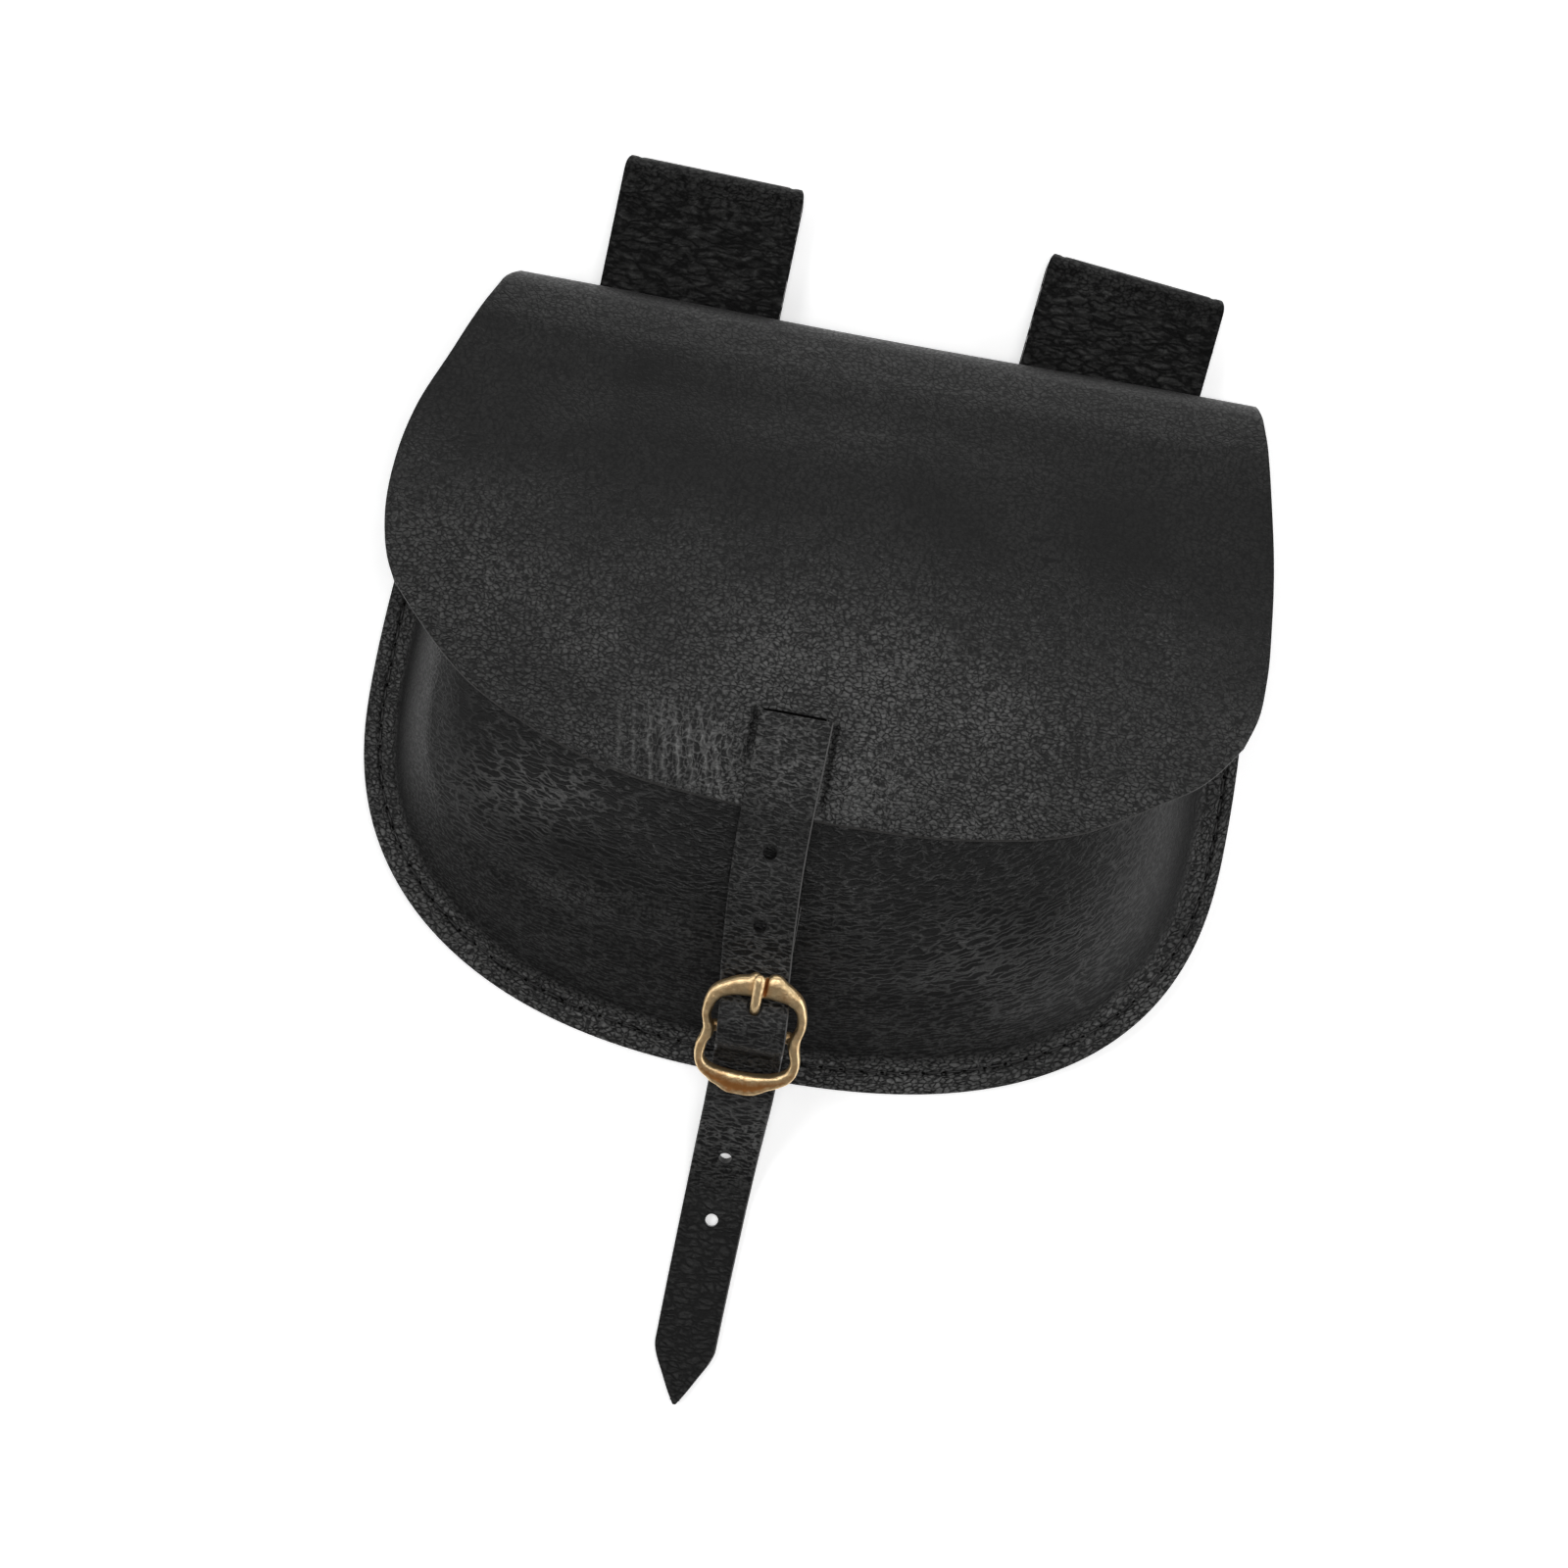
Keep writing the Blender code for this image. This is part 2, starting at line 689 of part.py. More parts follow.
def tab_path():
    """Outer side of the tab: down the front, round the bar and back up on itself."""
    bar = buckle_matrix() @ Vector((0.0, 0.0, -BAR_DROP))
    radius = eye_radius()
    leave = top_of_buckle_y() - TAB_LEATHER
    lower = [(y, tab_over_front(y, TAB_SEAT)) for y in np.linspace(-TAB_TOP_BELOW, leave, 5)]
    arc = []
    for angle in np.linspace(*TAB_TURN, EYE_CELLS + 1):
        arc.append((bar.y + radius * math.cos(angle), bar.z + radius * math.sin(angle)))
    dip = buckle_matrix() @ Vector((0.0, *under_top_bar(-2 * CLEARANCE)))
    height = TAB_SEAT + TAB_STACK
    upper = [(y, tab_over_front(y, height)) for y in np.linspace(leave, -TAB_TOP_BELOW - 2 * MM, 5)]
    return lower + arc + [(dip.y, dip.z)] + upper


def make_buckle_tab(collection, cutters):
    """Plain strip under the strap that holds the buckle's bar to the front, slotted for the prong."""
    middle = strap_middle_x()
    rows = []
    for y, z in tab_path():
        rows.append([Vector((middle + share * TAB_WIDTH, y, z)) for share in (-0.5, -0.17, 0.17, 0.5)])
    tab = sheet("buckle_tab", rows, TAB_LEATHER, BLACK_LEATHER, collection)
    reach = eye_radius() + CLEARANCE
    place = buckle_matrix() @ Matrix.Translation((PRONG_ASIDE, 0.9 * reach, -BAR_DROP))
    size = Vector((TAB_SLOT, 4.2 * reach, 3.2 * reach))
    cut(tab, box_cutter("tab_slot_cutter", size, place, cutters))
    return tab


def box_cutter(name, size, place, cutters):
    """Box of a given size at a given place."""
    bm = bmesh.new()
    bmesh.ops.create_cube(bm, size=1.0, matrix=place @ Matrix.Diagonal((*size, 1.0)))
    mesh = bpy.data.meshes.new(name)
    bm.to_mesh(mesh)
    bm.free()
    return add_cutter(name, mesh, cutters)


def strap_stops():
    """Points of the strap's underside, as (y, z), from its sewn end to its tip."""
    edge = -FLAP_REACH
    stops = [(y, flap_top(strap_middle_x(), y) + CLEARANCE) for y in np.linspace(STRAP_TOP_RISE, edge, 5)]
    stops.append((edge - 4 * MM, stops[-1][1] - 1.2 * MM))
    over_tab = TAB_SEAT + TAB_STACK + CLEARANCE
    for y in np.linspace(-TAB_TOP_BELOW, top_of_buckle_y(), 5)[:-1]:
        stops.append((y, tab_over_front(y, over_tab)))
    below_bars = -BUCKLE_THICKNESS / 2 - CLEARANCE - STRAP_LEATHER
    over_eye = eye_radius() - BAR_DROP + CLEARANCE
    half = BUCKLE_LENGTH / 2
    for along, height in (
        (half - BUCKLE_EDGE, below_bars),
        (half - 0.6 * TOP_BAR, below_bars),
        under_top_bar(0.0),
        (0.8 * eye_radius(), over_eye - 0.25 * STRAP_LEATHER),
        (0.0, over_eye),
        (-0.8 * eye_radius(), over_eye - 0.25 * STRAP_LEATHER),
        (-half + BOTTOM_BAR + WINDOW_CORNER, below_bars + 0.3 * CLEARANCE),
        (-half + 0.6 * BOTTOM_BAR, below_bars),
        (-half + BUCKLE_EDGE, below_bars),
    ):
        point = buckle_matrix() @ Vector((0.0, along, height))
        stops.append((point.y, point.z))
    last_y, last_z = stops[-1]
    for share, height in ((0.35, 0.55), (0.70, 0.16), (1.0, 0.0)):
        stops.append((last_y - share * STRAP_SETTLE, height * last_z))
    tip = -BODY_DEPTH - STRAP_TAIL
    stops += [(y, 0.0) for y in np.linspace(last_y - STRAP_SETTLE, tip, 5)[1:]]
    return stops


def strap_line():
    """Underside of the strap as closely spaced (y, z) points, and its length up to each of them."""
    Stop = namedtuple("Stop", "at y z")
    stops = np.array(strap_stops())
    steps = np.linalg.norm(np.diff(stops, axis=0), axis=1)
    lengths = np.concatenate(([0.0], np.cumsum(steps)))
    rows = [Stop(at, y, z) for at, (y, z) in zip(lengths, stops)]
    y_at, z_at = curve_through(rows, "y"), curve_through(rows, "z")
    fine = [(y_at(at), max(z_at(at), 0.0)) for at in np.linspace(0.0, lengths[-1], 401)]
    fine = np.array(fine)
    steps = np.linalg.norm(np.diff(fine, axis=0), axis=1)
    return fine, np.concatenate(([0.0], np.cumsum(steps)))


def strap_point(at):
    """Place on the strap's underside, and the direction up out of it, at a length from its sewn end."""
    fine, lengths = STRAP_LINE
    y = float(np.interp(at, lengths, fine[:, 0]))
    z = float(np.interp(at, lengths, fine[:, 1]))
    step = 0.8 * MM
    before, after = max(at - step, 0.0), min(at + step, lengths[-1])
    dy = float(np.interp(after, lengths, fine[:, 0]) - np.interp(before, lengths, fine[:, 0]))
    dz = float(np.interp(after, lengths, fine[:, 1]) - np.interp(before, lengths, fine[:, 1]))
    down = at / lengths[-1]
    return Vector((strap_aside(down) * STRAP_WIDTH, y, z)), Vector((0.0, dz, -dy)).normalized()


def strap_half_width(at):
    """Half the strap's width at a length from its sewn end, with its pointed end."""
    total = STRAP_LINE[1][-1]
    back = min((total - at) / STRAP_POINT, 1.0)
    return STRAP_WIDTH / 2 * strap_share(at / total) * tip_share(back)


def prong_hole_at():
    """Length from the sewn end to the hole that the prong comes through."""
    place = buckle_matrix()
    wanted = (place @ Vector((0.0, PRONG_COMES_UP * (BUCKLE_LENGTH - TOP_BAR) / 2, 0.0))).y
    fine, lengths = STRAP_LINE
    return float(np.interp(-wanted, -fine[:, 0], lengths))


def strap_stations(slot_at):
    """Lengths along the strap at which it has a row, closest where it winds through the buckle."""
    total = STRAP_LINE[1][-1]
    start, end = slot_at - BUCKLE_LENGTH / 2, slot_at + BUCKLE_LENGTH
    before = np.linspace(0.0, start, STRAP_CELLS[0] + 1)
    within = np.linspace(start, end, STRAP_CELLS[1] + 1)[1:]
    after = np.linspace(end, total - STRAP_POINT, STRAP_CELLS[2] + 1)[1:]
    point = [total - STRAP_POINT * row.back for row in reversed(STRAP_TIP[:-1])]
    return np.concatenate((before, within, after, point))


def make_closing_strap(collection, cutters):
    """Strap sewn on the flap, through the buckle and down to the ground, with punched holes."""
    slot_at = prong_hole_at()
    rows = []
    for at in strap_stations(slot_at):
        point, up = strap_point(at)
        half = strap_half_width(at)
        rows.append([point + Vector((share * half, 0.0, 0.0)) for share in (1.0, 0.4, -0.4, -1.0)])
    strap = sheet("closing_strap", rows, STRAP_LEATHER, BLACK_LEATHER, collection, offset=1.0)
    for number, step in enumerate(HOLE_STEPS):
        cut(strap, hole_cutter(f"strap_hole_{number}_cutter", slot_at + step, cutters))
    point, up = strap_point(slot_at)
    point.x = strap_middle_x() + PRONG_ASIDE
    size = Vector((HOLE_DIAMETER, PRONG_SLOT, CUT_DEPTH))
    cut(strap, box_cutter("prong_slot_cutter", size, upright(point, up), cutters))
    return strap


def upright(point, up):
    """Matrix that stands a cutter at a point, square to the strap."""
    turn = Vector((0.0, 0.0, 1.0)).rotation_difference(up)
    return Matrix.Translation(point) @ turn.to_matrix().to_4x4()


def hole_cutter(name, at, cutters):
    """Round punch at a length along the strap."""
    point, up = strap_point(at)
    bm = bmesh.new()
    bmesh.ops.create_cone(bm, cap_ends=True, segments=ROUND_SIDES, radius1=HOLE_DIAMETER / 2,
                          radius2=HOLE_DIAMETER / 2, depth=CUT_DEPTH, matrix=upright(point, up))
    mesh = bpy.data.meshes.new(name)
    bm.to_mesh(mesh)
    bm.free()
    return add_cutter(name, mesh, cutters)


def poly_spline(curve, points, closed):
    """Add one straight-sided spline to a curve."""
    spline = curve.splines.new("POLY")
    spline.points.add(len(points) - 1)
    for target, point in zip(spline.points, points):
        target.co = (*point, 1.0)
    spline.use_cyclic_u = closed
    return spline


def curve_mesh(name, curve, place):
    """Turn a curve into a closed mesh at its place."""
    maker = bpy.data.objects.new(name, curve)
    bpy.context.scene.collection.objects.link(maker)
    bpy.context.view_layer.update()
    evaluated = maker.evaluated_get(bpy.context.evaluated_depsgraph_get())
    mesh = bpy.data.meshes.new_from_object(evaluated)
    bpy.data.objects.remove(maker, do_unlink=True)
    mesh.transform(place)
    bm = bmesh.new()
    bm.from_mesh(mesh)
    bmesh.ops.remove_doubles(bm, verts=bm.verts, dist=MERGE)
    bmesh.ops.recalc_face_normals(bm, faces=bm.faces)
    bm.to_mesh(mesh)
    bm.free()
    mesh.shade_smooth()
    return mesh


def closed_edge(outline, width, length, middle):
    """Closed edge in the buckle's plane, from the right half that a table gives."""
    half = [(width / 2 * row.across, middle + length / 2 * row.along) for row in outline]
    mirrored = [(-x, y) for x, y in reversed(half[1:-1])]
    return [(x, y, 0.0) for x, y in half + mirrored]


def make_buckle_frame(collection, cutters):
    """Cast frame with the bar across its waist."""
    curve = bpy.data.curves.new("buckle_outline", "CURVE")
    curve.dimensions = "2D"
    curve.fill_mode = "BOTH"
    curve.extrude = BUCKLE_THICKNESS / 2 - BUCKLE_EDGE
    curve.bevel_depth = BUCKLE_EDGE
    curve.bevel_resolution = 1
    curve.offset = -BUCKLE_EDGE
    poly_spline(curve, closed_edge(BUCKLE_OUTLINE, BUCKLE_WIDTH, BUCKLE_LENGTH, 0.0), True)
    width = BUCKLE_WIDTH - 2 * RAIL
    length = BUCKLE_LENGTH - TOP_BAR - BOTTOM_BAR
    middle = (BOTTOM_BAR - TOP_BAR) / 2
    poly_spline(curve, closed_edge(WINDOW_OUTLINE, width, length, middle), True)
    place = buckle_matrix()
    mesh = curve_mesh("buckle_frame", curve, place)
    frame = add_piece("buckle_frame", mesh, BRASS, collection)
    bm = bmesh.new()
    lying = Matrix.Translation((0.0, 0.0, -BAR_DROP)) @ Matrix.Rotation(math.pi / 2, 4, "Y")
    bmesh.ops.create_cone(bm, cap_ends=True, segments=ROUND_SIDES, radius1=BAR_DIAMETER / 2,
                          radius2=BAR_DIAMETER / 2, depth=width + 2 * BAR_INTO_RAIL * RAIL,
                          matrix=place @ lying)
    bar_mesh = bpy.data.meshes.new("buckle_bar")
    bm.to_mesh(bar_mesh)
    bm.free()
    cut(frame, add_cutter("buckle_bar_joiner", bar_mesh, cutters), "UNION")
    return frame


def prong_path():
    """Middle of the prong in the buckle's plane, as (along, height, share of thickness)."""
    eye = BAR_DIAMETER / 2 + CLEARANCE + PRONG_EYE_SHARE * PRONG_DIAMETER / 2
    path = []
    for angle in np.linspace(*PRONG_TURN, EYE_CELLS + 1):
        path.append((eye * math.cos(angle), eye * math.sin(angle) - BAR_DROP, PRONG_EYE_SHARE))
    low = eye - BAR_DROP
    rest = BUCKLE_THICKNESS / 2 + CLEARANCE + PRONG_DIAMETER / 2
    inner_edge = BUCKLE_LENGTH / 2 - TOP_BAR
    for row in PRONG_RUN:
        along = inner_edge * row.to_bar + TOP_BAR * row.over_bar
        path.append((along, low + (rest - low) * row.lift, row.width))
    return path


def make_buckle_prong(collection):
    """Pin that turns on the bar, comes up through the strap and rests on the top bar."""
    curve = bpy.data.curves.new("buckle_prong", "CURVE")
    curve.dimensions = "3D"
    curve.bevel_depth = PRONG_DIAMETER / 2
    curve.bevel_resolution = 2
    curve.use_fill_caps = True
    path = prong_path()
    spline = poly_spline(curve, [(PRONG_ASIDE, along, height) for along, height, share in path], False)
    for target, (along, height, share) in zip(spline.points, path):
        target.radius = share
    mesh = curve_mesh("buckle_prong", curve, buckle_matrix())
    return add_piece("buckle_prong", mesh, BRASS, collection)


STRAP_LINE = strap_line()


def main():
    """Build the pouch."""
    clear_scene()
    pouch = new_collection("belt_pouch")
    cutters = new_collection("cutters")
    make_back_and_flap(pouch)
    make_front_panel(pouch)
    make_belt_loop("belt_loop_left", LOOP_LEFT_X, LOOP_REACH_LEFT, LOOP_LEFT_TURN, pouch)
    make_belt_loop("belt_loop_right", LOOP_RIGHT_X, LOOP_REACH_RIGHT, LOOP_RIGHT_TURN, pouch)
    make_buckle_frame(pouch, cutters)
    make_buckle_prong(pouch)
    make_buckle_tab(pouch, cutters)
    make_closing_strap(pouch, cutters)


main()
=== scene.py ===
"""Black leather belt pouch with a cast brass buckle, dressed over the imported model.

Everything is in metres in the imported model's frame: +Z up, +X to the right of the flap, +Y over the fold
towards the belt loops, and the ground at Z = 0.
"""
import logging
import math
from bisect import bisect_right
from collections.abc import Callable, Iterable, Sequence
from dataclasses import dataclass, field
from enum import Enum

import bmesh
import bpy
import numpy as np
from bpy.types import Material, Mesh, Node, NodeSocket, NodeTree, Object
from mathutils import Matrix, Vector, noise


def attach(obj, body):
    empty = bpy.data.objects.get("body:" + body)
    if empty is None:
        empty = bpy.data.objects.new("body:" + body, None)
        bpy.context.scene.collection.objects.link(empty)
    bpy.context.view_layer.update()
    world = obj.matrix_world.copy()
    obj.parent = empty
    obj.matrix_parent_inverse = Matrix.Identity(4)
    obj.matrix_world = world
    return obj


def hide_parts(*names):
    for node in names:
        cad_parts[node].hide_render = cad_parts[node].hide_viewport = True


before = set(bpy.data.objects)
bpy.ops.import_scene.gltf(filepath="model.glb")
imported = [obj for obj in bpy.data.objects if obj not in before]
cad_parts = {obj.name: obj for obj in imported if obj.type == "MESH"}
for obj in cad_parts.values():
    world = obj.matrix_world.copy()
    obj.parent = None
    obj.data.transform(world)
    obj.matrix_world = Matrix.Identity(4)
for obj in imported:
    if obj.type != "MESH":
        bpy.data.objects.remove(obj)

MM = 0.001
MERGE = 0.00001
BODY = "root"
WELL_IN = 9.0
FLESH, EDGE = 1, 2
SMOOTH_UP_TO = math.radians(48)
LOG = logging.getLogger("belt_pouch")

Row = list[Vector]
Table = tuple[tuple[float, ...], ...]


class Slot(Enum):
    """Material slots of the record."""

    LEATHER = "leather"
    BRASS = "brass"


class Hold(Enum):
    """How a sheet of leather is held."""

    FOLDED = "folded"
    STRETCHED = "stretched"
    LAID = "laid"


class SmoothCurve:
    """Smooth curve through points, held level beyond its ends."""

    def __init__(self, points: Iterable[tuple[float, float]]) -> None:
        """Work out the slopes at the points.

        Args:
            points: Pairs of position and value, in rising order of position.
        """
        table = np.array(list(points), float)
        steps = np.diff(table[:, 0])
        slopes = np.diff(table[:, 1]) / steps
        inner = (slopes[:-1] * steps[1:] + slopes[1:] * steps[:-1]) / (steps[:-1] + steps[1:])
        self.xs: list[float] = table[:, 0].tolist()
        self.ys: list[float] = table[:, 1].tolist()
        self.steps: list[float] = steps.tolist()
        self.slopes: list[float] = [slopes[0], *inner, slopes[-1]]

    def __call__(self, x: float) -> float:
        """Give the curve's value.

        Args:
            x: Position along the curve.

        Returns:
            The value there.
        """
        x = min(max(x, self.xs[0]), self.xs[-1])
        i = min(bisect_right(self.xs, x) - 1, len(self.steps) - 1)
        t = (x - self.xs[i]) / self.steps[i]
        blend = t * t * (3 - 2 * t)
        rise = self.slopes[i] * t * (1 - t) ** 2 - self.slopes[i + 1] * t * t * (1 - t)
        return self.ys[i] * (1 - blend) + self.ys[i + 1] * blend + rise * self.steps[i]


def ramp(value: float, start: float, end: float) -> float:
    """Go smoothly from 0 at the start to 1 at the end, and give the height where it is read."""
    share = min(max((value - start) / (end - start), 0.0), 1.0)
    return share * share * (3 - 2 * share)


def bell(value: float, middle: float, width: float) -> float:
    """Give the height of a bell that is 1 in its middle and about a third a width away from it."""
    return math.exp(-(((value - middle) / width) ** 2))


def lengths_along(points: np.ndarray) -> np.ndarray:
    """Give how far along a line of points each of them is."""
    return np.concatenate(([0.0], np.cumsum(np.linalg.norm(np.diff(points, axis=0), axis=1))))


def ring(count: int, place: Callable[[float, float], Vector]) -> Row:
    """Lay so many points round a section, each one where place puts the cosine and sine of its direction."""
    turns = (2 * math.pi * side / count for side in range(count))
    return [place(math.cos(turn), math.sin(turn)) for turn in turns]


def slope_factor(height: Callable[[float], float], y: float) -> float:
    """Say how much longer a sloping wall is, measured upright, than its thickness.

    Args:
        height: The wall's height at a place.
        y: The place.

    Returns:
        The factor, 1 where the wall is level.
    """
    step = 0.5 * MM
    slope = (height(y + step) - height(y - step)) / (2 * step)
    return math.sqrt(1 + slope * slope)


def linear(colour: str) -> tuple[float, float, float, float]:
    """Turn an sRGB hex colour into linear values.

    Args:
        colour: Six hex digits after a hash.

    Returns:
        Red, green, blue and full alpha.
    """
    parts = [int(colour[i:i + 2], 16) / 255 for i in (1, 3, 5)]
    red, green, blue = (c / 12.92 if c <= 0.04045 else ((c + 0.055) / 1.055) ** 2.4 for c in parts)
    return red, green, blue, 1.0


def add_node(tree: NodeTree, kind: str, sockets: dict[str | int, object] | None = None,
             **settings: object) -> Node:
    """Add one node to a material.

    Args:
        tree: The material's nodes.
        kind: The node's type.
        sockets: For each input, a value, or the output that feeds it.
        settings: The node's own settings.

    Returns:
        The new node.
    """
    node = tree.nodes.new(kind)
    for name, value in settings.items():
        setattr(node, name, value)
    for key, value in (sockets or {}).items():
        if isinstance(value, NodeSocket):
            tree.links.new(value, node.inputs[key])
        else:
            node.inputs[key].default_value = value
    return node


def new_material(name: str, shader: dict[str, object]) -> tuple[Material, Node]:
    """Make a material with a Principled shader.

    Args:
        name: The material's name.
        shader: Constant values for the shader's own sockets.

    Returns:
        The material and its shader node.
    """
    material = bpy.data.materials.new(name)
    material.use_nodes = True
    principled = material.node_tree.nodes["Principled BSDF"]
    for key, value in shader.items():
        principled.inputs[key].default_value = value
    return material, principled


@dataclass(frozen=True)
class Relief:
    """One pattern of cells on leather: the mesh attribute that weighs it, its size, height and kind.

    Pebbles are cells raised between valleys; creases are the thin ridges between sunken cells.
    """

    attribute: str
    size: tuple[float, float, float]
    height_in_mm: float
    ridged: bool = False


@dataclass(frozen=True)
class GrainLeather:
    """Top side of vegetable-tanned cowhide, dyed black, pebbled in the drum and waxed.

    The wax gives a satin gloss that breaks up on the pebbles: each one has a small highlight, the valleys
    stay matt and nearly black, and rubbed places turn a little grey. The grain's tops are also paled as
    painted light in lit places, and the wrinkles' crests take a pale painted highlight.
    """

    name: str
    dye: str = "#040404"
    # pale tone of rubbed places, and of painted light on the grain's tops in lit places
    rubbed_and_lit: str = "#727271"
    # pale tone of the painted highlights on wrinkles' crests and fold lips
    worn: str = "#787877"
    roughness: tuple[float, float] = (0.31, 0.55)
    pore: float = 0.95 * MM
    pore_height: float = 0.26
    reliefs: tuple[Relief, ...] = (
        Relief("pebbled", (1.5 * MM, 1.00 * MM, 1.2 * MM), 0.09),
        Relief("creased", (6.5 * MM, 1.00 * MM, 1.6 * MM), 0.15, ridged=True),
        Relief("pulled", (1.2 * MM, 2.6 * MM, 3.0 * MM), 0.13, ridged=True),
    )
    rim: float = 0.22
    shown: tuple[float, float] = (0.38, 0.76)
    gloss: float = 0.28
    drift: float = 2.4 * MM
    drift_size: float = 4.5 * MM
    patch_size: float = 24 * MM
    dry_roughness: float = 0.4

    def material(self) -> Material:
        """Build the leather's nodes.

        Returns:
            The material.
        """
        material, shader = new_material(self.name, {"Specular IOR Level": self.gloss})
        tree = material.node_tree
        place = add_node(tree, "ShaderNodeAttribute", attribute_name="lay").outputs["Vector"]
        drift = add_node(tree, "ShaderNodeTexNoise",
                         {"Vector": place, "Scale": 1 / self.drift_size, "Detail": 2.0}).outputs["Color"]
        centred = add_node(tree, "ShaderNodeVectorMath", {0: drift, 1: (0.5, 0.5, 0.5)},
                           operation="SUBTRACT").outputs[0]
        warped = add_node(tree, "ShaderNodeVectorMath", {0: centred, 1: (self.drift,) * 3, 2: place},
                          operation="MULTIPLY_ADD").outputs[0]
        pores = add_node(tree, "ShaderNodeTexNoise", {
            "Vector": place, "Scale": 1 / self.pore, "Detail": 1.5, "Roughness": 0.5}).outputs["Fac"]
        full = self.weigh(tree, "pebbled", self.pore_height)
        height = add_node(tree, "ShaderNodeMath", {0: pores, 1: full}, operation="MULTIPLY").outputs[0]
        for relief in self.reliefs:
            height, full = self.raised(tree, warped, relief, height, full)
        bump = add_node(tree, "ShaderNodeBump", {"Height": height, "Strength": 1.0, "Distance": MM})
        tree.links.new(bump.outputs[0], shader.inputs["Normal"])
        share = add_node(tree, "ShaderNodeMath", {0: height, 1: full}, operation="DIVIDE").outputs[0]
        low, high = self.shown
        tops = add_node(tree, "ShaderNodeMapRange",
                        {"Value": share, "From Min": low, "From Max": high}).outputs[0]
        tree.links.new(self.coloured(tree, place, tops), shader.inputs["Base Color"])
        sharp, soft = self.roughness
        rough = add_node(tree, "ShaderNodeMapRange",
                         {"Value": tops, "To Min": soft, "To Max": sharp}).outputs[0]
        dull = add_node(tree, "ShaderNodeMath", {0: self.weigh(tree, "dry", self.dry_roughness), 1: rough},
                        operation="ADD").outputs[0]
        tree.links.new(dull, shader.inputs["Roughness"])
        return material

    def coloured(self, tree: NodeTree, place: NodeSocket,
                 tops: NodeSocket) -> NodeSocket:
        """Pale the dye where the hide is rubbed and as painted light, in patches and on its tops, and paint
        highlights on the wrinkles' crests.

        Args:
            tree: The material's nodes.
            place: Where the pattern is read.
            tops: How near a top of the grain each place is.

        Returns:
            The colour.
        """
        patches = add_node(tree, "ShaderNodeTexNoise", {
            "Vector": place, "Scale": 1 / self.patch_size, "Detail": 3.0}).outputs["Fac"]
        dabs = add_node(tree, "ShaderNodeMath", {0: tops, 1: 0.5, 2: 0.5},
                        operation="MULTIPLY_ADD").outputs[0]
        colour = linear(self.dye)
        # the first pass pales rubbed places and paints light on lit places, the second paints highlights on
        # the crests
        for attribute, paler, patch, cover in (("rubbed_and_lit", self.rubbed_and_lit, patches, tops),
                                               ("crest_highlight", self.worn, 1.0, dabs)):
            weight = self.weigh(tree, attribute, 1.0)
            here = add_node(tree, "ShaderNodeMath", {0: weight, 1: patch}, operation="MULTIPLY").outputs[0]
            wear_and_highlight = add_node(tree, "ShaderNodeMath", {0: here, 1: cover}, operation="MULTIPLY").outputs[0]
            tones = {"Factor": wear_and_highlight, 6: colour, 7: linear(paler)}
            colour = add_node(tree, "ShaderNodeMix", tones, data_type="RGBA").outputs[2]
        return colour

    def weigh(self, tree: NodeTree, attribute: str, most: float) -> NodeSocket:
        """Read how strong something is on the mesh, where an attribute of 1 stands for the most."""
        weight = add_node(tree, "ShaderNodeAttribute", attribute_name=attribute).outputs["Fac"]
        return add_node(tree, "ShaderNodeMath", {0: weight, 1: most}, operation="MULTIPLY").outputs[0]

    def raised(self, tree: NodeTree, place: NodeSocket, relief: Relief,
               below: NodeSocket, full: NodeSocket
               ) -> tuple[NodeSocket, NodeSocket]:
        """Raise one pattern's cells, or the ridges between them, as high as an attribute says.

        Args:
            tree: The material's nodes.
            place: Where the pattern is read.
            relief: The cells' size and height, and the attribute of the mesh that weighs them.
            below: The height so far.
            full: The most that the height so far can be.

        Returns:
            The height with the relief on it, and the most that it can be.
        """
        scale = tuple(1 / side for side in relief.size)
        drawn = add_node(tree, "ShaderNodeMapping", {"Vector": place, "Scale": scale}).outputs[0]
        cells = add_node(tree, "ShaderNodeTexVoronoi", {"Vector": drawn, "Scale": 1.0},
                         feature="DISTANCE_TO_EDGE").outputs["Distance"]
        ground = add_node(tree, "ShaderNodeMapRange", {
            "Value": cells, "From Min": 0.0, "From Max": self.rim,
            "To Min": float(relief.ridged), "To Max": float(not relief.ridged)},
            interpolation_type="SMOOTHSTEP").outputs[0]
        most = self.weigh(tree, relief.attribute, relief.height_in_mm)
        height = add_node(tree, "ShaderNodeMath", {0: ground, 1: most, 2: below}, operation="MULTIPLY_ADD")
        reach = add_node(tree, "ShaderNodeMath", {0: most, 1: full}, operation="ADD")
        return height.outputs[0], reach.outputs[0]


@dataclass(frozen=True)
class FibreFinish:
    """Matt finish of fine fibres, mottled between a dark and a pale tone and raised a little where pale."""

    name: str
    dark: str
    pale: str
    shader: dict[str, object]
    grain: dict[str, object]
    relief: float = 0.0

    def material(self) -> Material:
        """Build the nodes: one noise that mixes the two tones and raises the paler one.

        Returns:
            The material.
        """
        material, shader = new_material(self.name, self.shader)
        tree = material.node_tree
        place = add_node(tree, "ShaderNodeTexCoord").outputs["Object"]
        fibres = add_node(tree, "ShaderNodeTexNoise", {"Vector": place, **self.grain}).outputs["Fac"]
        tones = {"Factor": fibres, 6: linear(self.dark), 7: linear(self.pale)}
        colour = add_node(tree, "ShaderNodeMix", tones, data_type="RGBA").outputs[2]
        tree.links.new(colour, shader.inputs["Base Color"])
        if self.relief:
            bump = add_node(tree, "ShaderNodeBump", {"Height": fibres, "Distance": self.relief})
            tree.links.new(bump.outputs[0], shader.inputs["Normal"])
        return material


